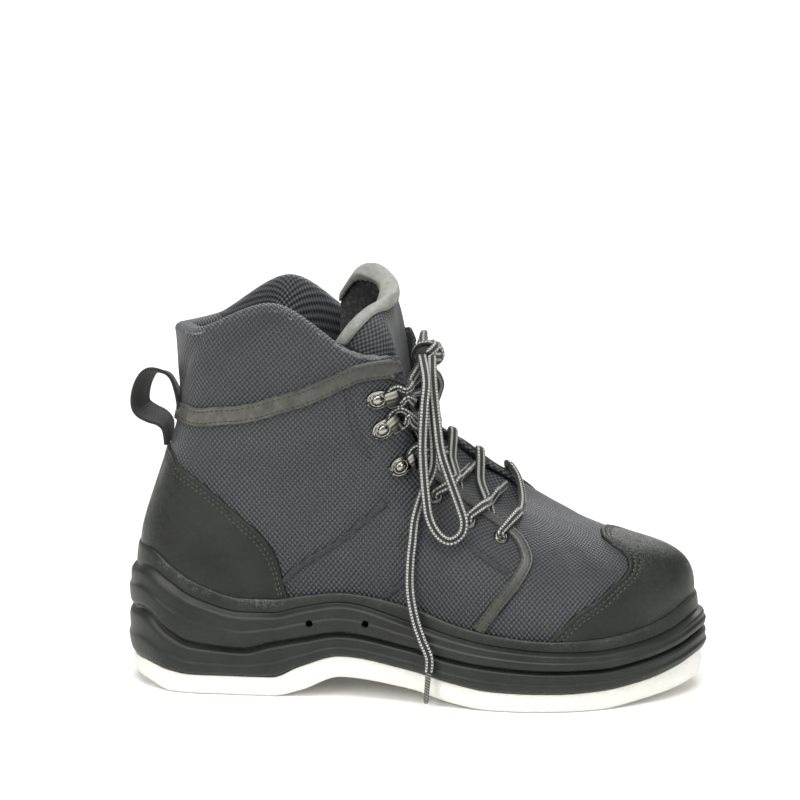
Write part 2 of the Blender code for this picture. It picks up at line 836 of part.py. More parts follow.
def tongue_face():
    """The tongue's outer face: rows from its tip under the vamp to its free top."""
    rows = []
    for push in (0.0, 0.04):
        row = []
        for turn, up in zip(TONGUE_TIP["turn"], TONGUE_TIP["up"]):
            row.append(under(turn, up + push * (1 - abs(turn) / 0.3), TONGUE_TIP_DROP))
        rows.append(row)
    for station in range(TONGUE_FIRST, TONGUE_LAST + 1):
        turn = station / ROUND_STEPS
        outer = [under(turn, up) for up in TONGUE_WING]
        inner = [under(2 - turn, up) for up in TONGUE_INNER_WING]
        across = inner[2] - outer[2]
        along = under(turn + 0.02, 1.0) - under(turn - 0.02, 1.0)
        crown = along.cross(across).normalized()
        if crown.x < 0:
            crown.negate()
        middle = []
        for share in (0.25, 0.5, 0.75):
            middle.append(outer[2] + across * share + crown * TONGUE_CROWN * 4 * share * (1 - share))
        rows.append(outer + middle + inner[::-1])
    last, before = rows[-1], rows[-2]
    for step in range(1, TONGUE_FLAP_STEPS + 1):
        t = step / TONGUE_FLAP_STEPS
        row = []
        for column in range(9):
            end = Vector((
                TONGUE_TOP["forward"][column] * SOLE_LENGTH,
                TONGUE_TOP["across"][column] * COLLAR_WIDTH,
                TONGUE_TOP["height"][column] * TONGUE_HEIGHT,
            ))
            start = last[column]
            leave = (start - before[column]).normalized() * (end - start).length * 0.6
            row.append((1 - t) ** 2 * start + 2 * t * (1 - t) * (start + leave) + t * t * end)
        rows.append(row)
    return rows


def grid_normals(rows, towards):
    """Directions square to a grid of points, turned to the side that towards points to."""
    normals = []
    for i, row in enumerate(rows):
        line = []
        for j in range(len(row)):
            along = rows[min(i + 1, len(rows) - 1)][j] - rows[max(i - 1, 0)][j]
            across = row[min(j + 1, len(row) - 1)] - row[max(j - 1, 0)]
            line.append(along.cross(across).normalized())
        normals.append(line)
    if normals[len(rows) // 2][len(rows[0]) // 2].dot(towards) < 0:
        normals = [[-normal for normal in line] for line in normals]
    return normals


def make_tongue():
    """The padded tongue, thinner at its edges, and the binding folded over its free top."""
    face = tongue_face()
    out = grid_normals(face, Vector((1, 0, 1)))
    inner = []
    for row, normals in zip(face, out):
        line = []
        for column, (point, normal) in enumerate(zip(row, normals)):
            share = 0.45 if column in (0, 8) else 0.8 if column in (1, 7) else 1.0
            line.append(point - normal * TONGUE_THICKNESS * share)
        inner.append(line)
    sheet_solid(face, inner, "tongue", (0.12, 0.125, 0.14), 0.85)
    make_tongue_binding(face, inner, out)


def make_tongue_binding(face, inner, out):
    """A wide band folded over the tongue's free top edge, along the tongue's own facets."""
    outer_side, inner_side = [], []
    last = len(face) - 1
    for column in range(9):
        step = face[last][column] - face[last - 1][column]
        share = TONGUE_BINDING_DEPTH / step.length
        normal = out[last][column]
        tip_up = step.normalized()
        front, back = face[last][column], inner[last][column]
        front_low = front.lerp(face[last - 1][column], share)
        back_low = back.lerp(inner[last - 1][column], share * 0.8)
        for side, lift in ((outer_side, BINDING_LIFT + BINDING_THICKNESS), (inner_side, BINDING_LIFT)):
            side.append([
                front_low + normal * lift,
                front + normal * lift + tip_up * lift * 0.4,
                front.lerp(back, 0.3) + tip_up * lift,
                front.lerp(back, 0.7) + tip_up * lift,
                back - normal * lift + tip_up * lift * 0.4,
                back_low - normal * lift,
            ])
    sheet_solid(outer_side, inner_side, "tongue_binding", (0.24, 0.235, 0.22), 0.6)


# Fittings


def frame_at(around, up, lift, rim):
    """A frame on the upper: x towards a place on the throat's edge, z out of the surface."""
    out = outward(around, up)
    inwards = base(rim, 1.0) - base(around, up)
    inwards = (inwards - out * inwards.dot(out)).normalized()
    side = out.cross(inwards).normalized()
    turn = Matrix((inwards, side, out)).transposed().to_4x4()
    return Matrix.Translation(skin(around, up, lift)) @ turn


def turned(profile, name, sides):
    """A closed ring turned from a profile of (radius, height) points."""
    builder = bmesh.new()
    rings = []
    for k in range(sides):
        angle = 2 * math.pi * k / sides
        rings.append([builder.verts.new((r * math.cos(angle), r * math.sin(angle), h)) for r, h in profile])
    for k in range(sides):
        for j in range(len(profile)):
            m = (j + 1) % len(profile)
            a, b = rings[k], rings[(k + 1) % sides]
            builder.faces.new((a[j], b[j], b[m], a[m]))
    return solid_mesh(builder, name)


def solid_mesh(builder, name):
    bmesh.ops.recalc_face_normals(builder, faces=builder.faces)
    if builder.calc_volume(signed=True) < 0:
        bmesh.ops.reverse_faces(builder, faces=builder.faces)
    mesh = bpy.data.meshes.new(name)
    builder.to_mesh(mesh)
    builder.free()
    mesh.shade_smooth()
    mesh.set_sharp_from_angle(angle=math.radians(40))
    return mesh


EYELET_LIFT = 0.0008
BARREL_RADIUS = EYELET_HOLE_RADIUS - 2 * GAP


def make_eyelets():
    """Six eyelets: a rolled rim on the outside and a barrel in the upper's hole."""
    bore = BARREL_RADIUS - 0.45 * MM
    profile = [
        (bore, -WALL * 0.9),
        (BARREL_RADIUS, -WALL * 0.9),
        (BARREL_RADIUS, 0.0),
        (EYELET_RADIUS, 0.0),
        (EYELET_RADIUS * 0.8, 1.0 * MM),
        (bore, 0.5 * MM),
    ]
    mesh = turned(profile, "eyelet", 10)
    for number, turn, up in zip(EYELETS["number"], EYELETS["turn"], EYELETS["up"]):
        for side, around in (("outer", turn), ("inner", 2 - turn)):
            piece = add_object("eyelet_%s_%d" % (side, number), mesh.copy(), (0.10, 0.10, 0.10), 0.35, 1.0)
            piece.matrix_world = frame_at(around, up, EYELET_LIFT, around)


def make_hooks():
    """Six lace hooks: a riveted plate whose front end rises and curls back."""
    reach = HOOK_LENGTH / 2
    half = HOOK_SHEET / 2
    centre = [(-reach * 1.35, half), (reach * 0.35, half), (reach * 0.75, 0.0017), (reach * 0.92, 0.0036),
              (reach * 0.75, 0.0056), (reach * 0.35, 0.0066), (-reach * 0.05, 0.0064)]
    outer, inner = [], []
    for k, (x, z) in enumerate(centre):
        before = centre[max(k - 1, 0)]
        after = centre[min(k + 1, len(centre) - 1)]
        run = Vector((after[0] - before[0], after[1] - before[1])).normalized()
        outer.append((x + run.y * half, z - run.x * half))
        inner.append((x - run.y * half, z + run.x * half))
    profile = outer + inner[::-1]
    builder = bmesh.new()
    wide = [HOOK_WIDTH / 2 * (0.8 if abs(x) > reach * 0.9 and z < 0.002 else 1.0) for x, z in profile]
    left = [builder.verts.new((x, -w, z)) for (x, z), w in zip(profile, wide)]
    right = [builder.verts.new((x, w, z)) for (x, z), w in zip(profile, wide)]
    count = len(profile)
    for k in range(count):
        m = (k + 1) % count
        builder.faces.new((left[k], left[m], right[m], right[k]))
    half_count = count // 2
    for verts in (left, right):
        for k in range(half_count - 1):
            builder.faces.new((verts[k], verts[k + 1], verts[count - 2 - k], verts[count - 1 - k]))
    mesh = solid_mesh(builder, "hook")
    for number, turn, up, aim, _, lift in zip(*HOOKS.values()):
        for side, around, edge in (("outer", turn, aim), ("inner", 2 - turn, 2 - aim)):
            piece = add_object("hook_%s_%d" % (side, number), mesh.copy(), (0.16, 0.16, 0.155), 0.35, 1.0)
            piece.matrix_world = frame_at(around, up, lift, edge)


# The pull loop behind the ankle: its middle line, as shares of SOLE_LENGTH forward and COLLAR_HEIGHT up
LOOP = table(
    "order forward height",
    (0, -0.0480, 0.742),
    (1, -0.060, 0.778),
    (2, -0.080, 0.790),
    (3, -0.095, 0.785),
    (4, -0.107, 0.755),
    (5, -0.112, 0.718),
    (6, -0.108, 0.695),
    (7, -0.092, 0.680),
    (8, -0.0765, 0.671),
    (9, -0.0655, 0.657),
    (10, -0.0620, 0.637),
    (11, -0.0625, 0.608),
)
LOOP_LEAN = math.radians(18)


def make_pull_loop():
    """A loop of webbing, sewn on at the ankle strip and at the top of the counter."""
    points = [(x * SOLE_LENGTH, 0, z * COLLAR_HEIGHT) for x, z in zip(LOOP["forward"], LOOP["height"])]
    path = smooth_path(points, 0.006)
    outer, inner = [], []
    for k, point in enumerate(path):
        run = (path[min(k + 1, len(path) - 1)] - path[max(k - 1, 0)]).normalized()
        normal = Vector((-run.z, 0, run.x))
        lean = LOOP_LEAN * math.sin(math.pi * k / (len(path) - 1))
        across = Vector((0, math.cos(lean), 0)) + normal * math.sin(lean)
        rows = [point + across * share * LOOP_WIDTH for share in (-0.5, 0.5)]
        outer.append([p + normal * LOOP_THICKNESS / 2 for p in rows])
        inner.append([p - normal * LOOP_THICKNESS / 2 for p in rows])
    sheet_solid(outer, inner, "pull_loop", (0.025, 0.025, 0.025), 0.8)


# Laces

CROSSING_SIDES = 6


def over_throat(turn, share, lift):
    """Point over the tongue, at a share of the way from the outer to the inner edge of the throat."""
    outer, inner = base(turn, 1.0), base(2 - turn, 1.0)
    across = inner - outer
    along = base(turn + 0.02, 1.0) - base(turn - 0.02, 1.0)
    crown = along.cross(across).normalized()
    if crown.x < 0:
        crown.negate()
    hump = TONGUE_CROWN * 4 * max(share * (1 - share), 0.0)
    return outer + across * share + crown * (hump + lift)


def tube(points, radius, sides):
    """A bent round bar through the points, as a mesh in a builder."""
    builder = bmesh.new()
    rings = []
    for k, point in enumerate(points):
        run = (points[min(k + 1, len(points) - 1)] - points[max(k - 1, 0)]).normalized()
        turn = Vector((0, 0, 1)).rotation_difference(run)
        ring_points = []
        for side in range(sides):
            angle = 2 * math.pi * side / sides
            ring_points.append(point + turn @ Vector((radius * math.cos(angle), radius * math.sin(angle), 0)))
        rings.append([builder.verts.new(p) for p in ring_points])
    for low, high in zip(rings, rings[1:]):
        for side in range(sides):
            after = (side + 1) % sides
            builder.faces.new((low[side], low[after], high[after], high[side]))
    builder.faces.new(rings[0][::-1])
    builder.faces.new(rings[-1])
    return builder


def fuse(name, parts, colour, roughness):
    """One object from several bars that cross."""
    meshes = [solid_mesh(builder, name) for builder in parts]
    piece = add_object(name, meshes[0], colour, roughness)
    for k, mesh in enumerate(meshes[1:]):
        other = bpy.data.objects.new("%s_part_%d" % (name, k), mesh)
        bpy.context.scene.collection.objects.link(other)
        other.hide_render = True
        other.display_type = "WIRE"
        modifier = piece.modifiers.new("join", "BOOLEAN")
        modifier.operation = "UNION"
        modifier.object = other
    return piece


LACE_COLOUR = (0.05, 0.05, 0.05)


def fastenings():
    """The eyelet and hook rows from the toe upwards: where the lace crosses the edge, the fastening's
    share of the way up, and whether it is a hook."""
    rows = [(turn, up, False) for turn, up in zip(EYELETS["turn"], EYELETS["up"])]
    return rows + [(rim, up, True) for rim, up in zip(HOOKS["rim"], HOOKS["up"])]


LACE_RADIUS = LACE_DIAMETER / 2
# The slack under a strand where it passes over the rim, the binding and an eyelet, and how far it sinks
# on the tongue below the plane of the throat's edges
RIM_SLACK = 2.8 * MM
BINDING_SLACK = 2.6 * MM
EYELET_SLACK = 1.5 * MM
TONGUE_DIP = 2.4 * MM
# How high a strand's middle lies over that plane, and above the upper's outside
OVER_RIM = LACE_RADIUS + RIM_SLACK
ON_TONGUE = LACE_RADIUS - TONGUE_DIP
OVER_BINDING = STRIP_LIFT + BINDING_THICKNESS + LACE_RADIUS + BINDING_SLACK
OVER_EYELET = EYELET_LIFT + LACE_RADIUS + EYELET_SLACK
# How far along the edge two strands at one hook pass each other
HOOK_SPREAD = 0.0072


# Places where the bar passes over the edge binding, from the lowest eyelet towards the throat's front
BAR_WAY = ((0.27, 0.88), (0.20, 0.95), (0.10, 0.985))


def fitted(route):
    """The points of a chosen route, moved to suit the boot's own length, width and height."""
    sizes = (SOLE_LENGTH / ROUTE_LENGTH, COLLAR_WIDTH / ROUTE_WIDTH, COLLAR_HEIGHT / ROUTE_HEIGHT)
    return [Vector([value * size for value, size in zip(point, sizes)]) for point in route]


def crossing_path(low, high, mirror):
    """From under one edge of the throat up to the next fastening on the other side."""
    (low_turn, _, low_hook), (high_turn, high_up, high_hook) = low, high
    start = low_turn + HOOK_SPREAD if low_hook else low_turn - 0.035
    end = high_turn - HOOK_SPREAD if high_hook else high_turn - 0.05
    first = [(0.02, OVER_RIM), (0.16, LACE_RADIUS)] if low_hook else [(0.17, ON_TONGUE)]
    rest = [(0.35, ON_TONGUE), (0.65, ON_TONGUE), (0.84, LACE_RADIUS), (0.98, OVER_RIM)]
    path = []
    for share, lift in first + rest:
        place = share if not mirror else 1 - share
        path.append(over_throat(start + (end - start) * share, place, lift))
    if not high_hook:
        for turn, up, lift in ((high_turn - 0.03, 0.93, OVER_BINDING), (high_turn, high_up, OVER_EYELET)):
            path.append(skin(turn if mirror else 2 - turn, up, lift))
    return path


def make_crossings():
    """The lace where it crosses the throat: a bar at the lowest eyelets and a cross above each pair."""
    rows = fastenings()
    first_turn, first_up, _ = rows[0]
    way = [(first_turn, first_up, OVER_EYELET)]
    way += [(turn, up, OVER_BINDING) for turn, up in BAR_WAY]
    path = [skin(turn, up, lift) for turn, up, lift in way]
    path.append(skin(0.0, 1.0, OVER_BINDING))
    path += [skin(2 - turn, up, lift) for turn, up, lift in reversed(way)]
    piece = solid_mesh(tube(path, LACE_RADIUS, CROSSING_SIDES), "lace_bar")
    add_object("lace_bar", piece, LACE_COLOUR, 0.8)
    for k, (low, high) in enumerate(zip(rows, rows[1:])):
        bars = []
        for mirror in (False, True):
            bars.append(tube(crossing_path(low, high, mirror), LACE_RADIUS, CROSSING_SIDES))
        fuse("lace_cross_%d" % (k + 1), bars, LACE_COLOUR, 0.8)
    turn = rows[-1][0] + HOOK_SPREAD
    for name, share, route in (("lace_tie_outer", 0.02, TIE_OUTER), ("lace_tie_inner", 0.98, TIE_INNER)):
        path = [over_throat(turn, share, OVER_RIM)] + fitted(route)
        piece = solid_mesh(tube(path, LACE_RADIUS, CROSSING_SIDES), name)
        add_object(name, piece, LACE_COLOUR, 0.8)


# The knot in front of the tongue, and the hanging bow: two loops and two ends. Their routes are chosen
# points in metres for a boot of these sizes; each starts and ends at the knot or at a tip.
ROUTE_LENGTH = 0.318
ROUTE_WIDTH = 0.086
ROUTE_HEIGHT = 0.220
KNOT_CENTRE = (0.1255, -0.006, 0.1880)
KNOT_SIZE = (0.0080, 0.0085, 0.0060)
TIE_OUTER = ((0.1180, -0.0230, 0.1760), (0.1226, -0.0121, 0.1838))
TIE_INNER = ((0.1180, 0.0150, 0.1760), (0.1230, 0.0005, 0.1842))
LOOP_OUTER = (
    (0.1236, -0.0156, 0.1885), (0.1272, -0.0295, 0.1775), (0.1268, -0.0360, 0.1640), (0.1262, -0.0387, 0.1404),
    (0.1288, -0.0440, 0.1136), (0.1314, -0.0455, 0.1024), (0.1368, -0.0470, 0.0950), (0.1426, -0.0478, 0.0930),
    (0.1480, -0.0473, 0.0968), (0.1495, -0.0465, 0.1031), (0.1472, -0.0448, 0.1110), (0.1408, -0.0410, 0.1271),
    (0.1360, -0.0380, 0.1409), (0.1333, -0.0325, 0.1564), (0.1303, -0.0245, 0.1766), (0.1290, -0.0160, 0.1885),
)
END_OUTER = (
    (0.1262, -0.0100, 0.1800), (0.1268, -0.0150, 0.1755), (0.1285, -0.0215, 0.1680), (0.1300, -0.0275, 0.1560),
    (0.1318, -0.0332, 0.1420), (0.1314, -0.0345, 0.1300), (0.1265, -0.0378, 0.1180), (0.1225, -0.0420, 0.1040),
    (0.1213, -0.0448, 0.0920), (0.1203, -0.0468, 0.0801), (0.1203, -0.0490, 0.0653), (0.1233, -0.0530, 0.0508),
    (0.1273, -0.0560, 0.0398), (0.1317, -0.0582, 0.0298), (0.1315, -0.0585, 0.0215),
)
AGLET_OUTER = ((0.1315, -0.0585, 0.0212), (0.1302, -0.0583, 0.0040))
LOOP_INNER = (
    (0.1225, 0.0030, 0.1900), (0.1210, 0.0150, 0.1920), (0.1205, 0.0270, 0.1920), (0.1185, 0.0375, 0.1860),
    (0.1140, 0.0460, 0.1740), (0.1105, 0.0520, 0.1580), (0.1085, 0.0560, 0.1400), (0.1085, 0.0580, 0.1220),
    (0.1120, 0.0590, 0.1080), (0.1175, 0.0590, 0.1020), (0.1235, 0.0590, 0.1060), (0.1250, 0.0580, 0.1160),
    (0.1220, 0.0560, 0.1320), (0.1190, 0.0545, 0.1480), (0.1185, 0.0510, 0.1620), (0.1205, 0.0450, 0.1740),
    (0.1258, 0.0310, 0.1845), (0.1268, 0.0180, 0.1860), (0.1285, 0.0030, 0.1868),
)
END_INNER = (
    (0.1275, -0.0025, 0.1800), (0.1282, 0.0040, 0.1762), (0.1290, 0.0120, 0.1730), (0.1298, 0.0235, 0.1650),
    (0.1275, 0.0330, 0.1570), (0.1240, 0.0420, 0.1470), (0.1220, 0.0480, 0.1330), (0.1185, 0.0510, 0.1200),
    (0.1175, 0.0520, 0.1000), (0.1190, 0.0530, 0.0830), (0.1210, 0.0545, 0.0650), (0.1230, 0.0560, 0.0500),
    (0.1245, 0.0572, 0.0360), (0.1265, 0.0575, 0.0215),
)
AGLET_INNER = ((0.1265, 0.0575, 0.0212), (0.1263, 0.0573, 0.0040))
TIP_RADIUS = 0.36 * LACE_DIAMETER
CORD_SPACING = 3 * LACE_DIAMETER


def make_cord(name, route, radius=LACE_RADIUS, spacing=CORD_SPACING):
    """A hanging stretch of lace as a curve with a round section and closed ends."""
    curve = bpy.data.curves.new(name, "CURVE")
    curve.dimensions = "3D"
    curve.bevel_depth = radius
    curve.bevel_resolution = 1
    curve.use_fill_caps = True
    path = smooth_path(route, spacing)
    spline = curve.splines.new("POLY")
    spline.points.add(len(path) - 1)
    for point, place in zip(spline.points, path):
        point.co = (*place, 1)
    return add_object(name, curve, LACE_COLOUR, 0.8)


def make_knot():
    """The knot as one closed lump."""
    builder = bmesh.new()
    place = Matrix.Translation(fitted([KNOT_CENTRE])[0]) @ Matrix.Diagonal((*KNOT_SIZE, 1))
    bmesh.ops.create_uvsphere(builder, u_segments=8, v_segments=6, radius=1.0, matrix=place)
    finish(builder, "lace_knot", LACE_COLOUR, 0.8)


def make_bow():
    make_knot()
    make_cord("lace_loop_outer", fitted(LOOP_OUTER))
    make_cord("lace_loop_inner", fitted(LOOP_INNER))
    make_cord("lace_end_outer", fitted(END_OUTER))
    make_cord("lace_end_inner", fitted(END_INNER))
    for name, route in (("aglet_outer", AGLET_OUTER), ("aglet_inner", AGLET_INNER)):
        start, end = fitted(route)
        start = start + (end - start).normalized() * GAP
        make_cord(name, (start, end), TIP_RADIUS, (end - start).length)


def main():
    for piece in list(bpy.data.objects):
        bpy.data.objects.remove(piece, do_unlink=True)
    make_felt()
    make_cup_sole()
    make_upper()
    make_insole()
    make_tongue()
    make_toe_cap()
    make_counter()
    make_ankle_strip()
    make_quarter_bindings()
    make_eyelets()
    make_hooks()
    make_pull_loop()
    make_crossings()
    make_bow()


main()
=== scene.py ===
"""Looks of the wading boot: every surface laid as a fine mesh over the same form that the CAD pieces have.

The boot stands with its toe along +X, the inner side along +Y and up along +Z, in metres. The outer side
faces the camera. around runs round the boot from the toe tip (0) by the outer side to the heel (1) and on
by the inner side, and up runs from the rubber's lip (0) to the top edge (1).
"""
import math

import bpy
import numpy as np
from mathutils import Matrix, Vector, noise


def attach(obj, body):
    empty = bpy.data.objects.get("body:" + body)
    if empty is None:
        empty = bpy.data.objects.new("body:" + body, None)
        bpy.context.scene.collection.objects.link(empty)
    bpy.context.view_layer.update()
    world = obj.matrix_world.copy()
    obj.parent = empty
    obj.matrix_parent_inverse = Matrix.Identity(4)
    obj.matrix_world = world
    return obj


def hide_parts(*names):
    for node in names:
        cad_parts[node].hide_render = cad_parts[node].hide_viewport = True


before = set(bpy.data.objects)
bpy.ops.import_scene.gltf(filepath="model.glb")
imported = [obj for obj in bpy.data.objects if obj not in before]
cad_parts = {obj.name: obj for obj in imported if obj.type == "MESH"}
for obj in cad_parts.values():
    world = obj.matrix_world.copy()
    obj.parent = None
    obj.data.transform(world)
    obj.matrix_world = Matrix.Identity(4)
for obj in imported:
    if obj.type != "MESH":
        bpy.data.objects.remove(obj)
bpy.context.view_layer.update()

MM = 0.001
LATERAL = -1
MEDIAL = 1

# The boot's sizes, as the CAD has them
SOLE_LENGTH = 0.318
HEEL_REACH = 0.040
BALL_WIDTH = 0.119
HEEL_WIDTH = 0.084
SOLE_HEIGHT = 0.060
LIP_THICKNESS = 0.002
COLLAR_HEIGHT = 0.220
COLLAR_WIDTH = 0.086
WALL = 0.0025
COLLAR_PUFF = 0.0035
COLLAR_PAD = 0.0045
LEATHER = 0.0013
BINDING_THICKNESS = 0.0012
EDGE_BINDING_WIDTH = 0.0058
TONGUE_THICKNESS = 0.0055
TONGUE_HEIGHT = 0.232
INSOLE_THICKNESS = 0.004
EYELET_RADIUS = 0.0043
EYELET_HOLE_RADIUS = 0.0026
HOOK_LENGTH = 0.015
HOOK_SHEET = 0.0011
LOOP_WIDTH = 0.021
LOOP_THICKNESS = 0.0018
GAP = 0.0003
LIP_INSET = 2.65 * LIP_THICKNESS
FEATHER_INSET = LIP_INSET + GAP
ROUND_STEPS = 24

# The camera's place and directions, from the photograph's own angle
CAMERA_PLACE = (0.3130, -1.9332, 0.5911)
CAMERA_RIGHT = (0.99452, 0.10453, 0.0)
CAMERA_UP = (-0.02262, 0.21525, 0.97630)
CAMERA_BACK = (0.10205, -0.97095, 0.21644)
CAMERA_LENS = 162
CAMERA_SENSOR = 36
CLIP_END = 20

WORLD_LIGHT = 0.34
# Soft lights: name, place, the point it is aimed at, size and power
LIGHTS = (
    ("light_above", (0.10, -0.45, 1.5), (0.12, 0, 0.1), 1.1, 23),
    ("light_left", (-0.8, -1.3, 1.0), (0.1, 0, 0.1), 0.8, 12),
    ("light_right", (1.3, -0.9, 0.8), (0.15, 0, 0.08), 0.7, 6),
    ("light_behind", (0.3, 1.4, 1.0), (0.12, 0, 0.12), 1.0, 6),
    ("light_far", (0.3, 3.0, 2.0), (0.3, 3.2, 0), 2.4, 70),
)


# Camera, floor and light


def make_camera():
    bpy.ops.object.camera_add()
    camera = bpy.context.object
    camera.name = "camera"
    camera.data.lens = CAMERA_LENS
    camera.data.sensor_width = CAMERA_SENSOR
    camera.data.clip_end = CLIP_END
    turn = Matrix((CAMERA_RIGHT, CAMERA_UP, CAMERA_BACK)).transposed().to_4x4()
    camera.matrix_world = Matrix.Translation(CAMERA_PLACE) @ turn
    bpy.context.scene.camera = camera
    bpy.context.scene.view_settings.view_transform = "Standard"


def make_light(name, place, aim, size, power):
    bpy.ops.object.light_add(type="AREA", location=place)
    lamp = bpy.context.object
    lamp.name = name
    lamp.data.energy = power
    lamp.data.size = size
    direction = Vector(aim) - Vector(place)
    lamp.rotation_euler = direction.to_track_quat("-Z", "Y").to_euler()


def make_studio():
    """A pale floor in soft white light."""
    floor = primitive("plane", size=14, location=(0.1, 0, -0.0002))
    floor.name = "studio_floor"
    floor.data.materials.append(pale_floor())
    world = bpy.data.worlds.new("studio")
    bpy.context.scene.world = world
    world.use_nodes = True
    background = world.node_tree.nodes["Background"]
    background.inputs["Color"].default_value = (1, 1, 0.985, 1)
    background.inputs["Strength"].default_value = WORLD_LIGHT
    for light in LIGHTS:
        make_light(*light)


# Small helpers


def select_none():
    bpy.ops.object.select_all(action="DESELECT")


def select_only(piece):
    select_none()
    piece.select_set(True)
    bpy.context.view_layer.objects.active = piece


def primitive(kind, **settings):
    """A new primitive, with nothing else selected."""
    select_none()
    getattr(bpy.ops.mesh, "primitive_%s_add" % kind)(**settings)
    return bpy.context.object


def edit(piece, *steps):
    """Run edit mode operators on all of a piece."""
    select_only(piece)
    bpy.ops.object.mode_set(mode="EDIT")
    bpy.ops.mesh.select_all(action="SELECT")
    for operator, settings in steps:
        operator(**settings)
    bpy.ops.object.mode_set(mode="OBJECT")


def finish_with(piece, kind, **settings):
    """Give a piece a modifier and apply it."""
    modifier = piece.modifiers.new(kind.lower(), kind)
    for key, value in settings.items():
        setattr(modifier, key, value)
    select_only(piece)
    bpy.ops.object.modifier_apply(modifier=modifier.name)


MERGE = (bpy.ops.mesh.remove_doubles, {"threshold": 0.000002})
FACE_OUT = (bpy.ops.mesh.normals_make_consistent, {"inside": False})
TURN_OVER = (bpy.ops.mesh.flip_normals, {})


def lay_grid(name, points, uv=None, out=None):
    """A grid primitive with each of its points laid in its place. Its UV map is in metres. out turns an
    open sheet's faces to the side that it points to."""
    points = np.array([[tuple(p) for p in column] for column in points])
    columns, rows = points.shape[:2]
    piece = primitive("grid", x_subdivisions=columns - 1, y_subdivisions=rows - 1, size=2)
    piece.name = name
    mesh = piece.data
    mesh.name = name
    flat = np.empty(len(mesh.vertices) * 3)
    mesh.vertices.foreach_get("co", flat)
    flat = flat.reshape(-1, 3)
    i = np.rint((flat[:, 0] + 1) / 2 * (columns - 1)).astype(int)
    j = np.rint((flat[:, 1] + 1) / 2 * (rows - 1)).astype(int)
    mesh.vertices.foreach_set("co", points[i, j].ravel())
    uv = metric_uv(points) if uv is None else np.array(uv)
    corner = np.empty(len(mesh.loops), dtype=np.int32)
    mesh.loops.foreach_get("vertex_index", corner)
    mesh.uv_layers[0].data.foreach_set("uv", uv[i, j][corner].ravel())
    mesh.update()
    if out is not None:
        a, b = columns // 2, rows // 2
        across = points[min(a + 1, columns - 1), b] - points[a - 1, b]
        along = points[a, min(b + 1, rows - 1)] - points[a, b - 1]
        if np.dot(np.cross(across, along), np.array(tuple(out))) < 0:
            edit(piece, TURN_OVER)
    return piece


def metric_uv(points):
    """Distances along the columns and rows of a grid, in metres, from its middle column and first row."""
    columns, rows = points.shape[:2]
    across = np.zeros((columns, rows))
    across[1:] = np.cumsum(np.linalg.norm(np.diff(points, axis=0), axis=2), axis=0)
    across -= across[columns // 2]
    along = np.zeros((columns, rows))
    along[:, 1:] = np.cumsum(np.linalg.norm(np.diff(points, axis=1), axis=2), axis=1)
    return np.stack([across, along], axis=2)


def mark(piece, name, values):
    """Keep a number for each point of a piece, for its material to read."""
    attribute = piece.data.attributes.new(name, "FLOAT", "POINT")
    attribute.data.foreach_set("value", np.asarray(values, dtype=np.float32))


def set_painted_highlight(piece, tone):
    """How much painted highlight a metal piece has, the same all over."""
    mark(piece, "painted_highlight", [tone] * len(piece.data.vertices))


def dress(piece, surface, slot, *nodes):
    """Give a piece its material, hide the CAD parts that it stands for, and let it ride on the boot."""
    if surface:
        piece.data.materials.clear()
        piece.data.materials.append(surface)
    select_only(piece)
    bpy.ops.object.shade_smooth_by_angle(angle=math.radians(50))
    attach(piece, "root")
    if nodes:
        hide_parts(*nodes)
    return piece


def join(name, pieces):
    select_none()
    for piece in pieces:
        piece.select_set(True)
    bpy.context.view_layer.objects.active = pieces[0]
    bpy.ops.object.join()
    joined = bpy.context.object
    joined.name = name
    joined.data.name = name
    return joined


def scatter(name, unit, places):
    """One mesh made of a small unit set down in many places."""
    mesh = unit.data
    count = len(mesh.vertices)
    shape = np.empty(count * 3)
    mesh.vertices.foreach_get("co", shape)
    shape = np.c_[shape.reshape(-1, 3), np.ones(count)]
    faces = [tuple(face.vertices) for face in mesh.polygons]
    points, all_faces = [], []
    for k, place in enumerate(places):
        points.append((shape @ np.array(place).T)[:, :3])
        all_faces += [tuple(v + k * count for v in face) for face in faces]
    result = bpy.data.meshes.new(name)
    result.from_pydata(np.concatenate(points).tolist(), [], all_faces)
    piece = bpy.data.objects.new(name, result)
    bpy.context.scene.collection.objects.link(piece)
    bpy.data.objects.remove(unit, do_unlink=True)
    return piece


def smooth_step(value):
    value = min(max(value, 0.0), 1.0)
    return value * value * (3 - 2 * value)


def across_from(turn, mirror):
    """A place round the boot, or the one on the other side of it."""
    return 2 - turn if mirror else turn


def run_at(points, k):
    """The way a chain of points runs at one of them."""
    return points[min(k + 1, len(points) - 1)] - points[max(k - 1, 0)]


def curve(points, parts):
    """A smooth curve through points, with each span cut into parts."""
    fine = []
    for i in range(len(points) - 1):
        before, after = points[max(i - 1, 0)], points[min(i + 2, len(points) - 1)]
        start, end = points[i], points[i + 1]
        for k in range(parts):
            t = k / parts
            fine.append(0.5 * (2 * start + (end - before) * t
                               + (2 * before - 5 * start + 4 * end - after) * t * t
                               + (3 * start - before - 3 * end + after) * t**3))
    return fine + [points[-1]]


# Tables of the form, read along smooth curves


def table(names, *rows):
    return {name: [row[i] for row in rows] for i, name in enumerate(names.split())}


SLOPES = {}


def slopes(rows, column):
    """Slopes of a curve through the rows that never overshoots them, and is level at both ends."""
    key = (id(rows), column)
    if key not in SLOPES:
        xs = rows[next(iter(rows))]
        ys = rows[column]
        steps = [(ys[i + 1] - ys[i]) / (xs[i + 1] - xs[i]) for i in range(len(xs) - 1)]
        result = [0.0]
        for before, after in zip(steps, steps[1:]):
            result.append(0.0 if before * after <= 0 else 2 * before * after / (before + after))
        SLOPES[key] = result + [0.0]
    return SLOPES[key]


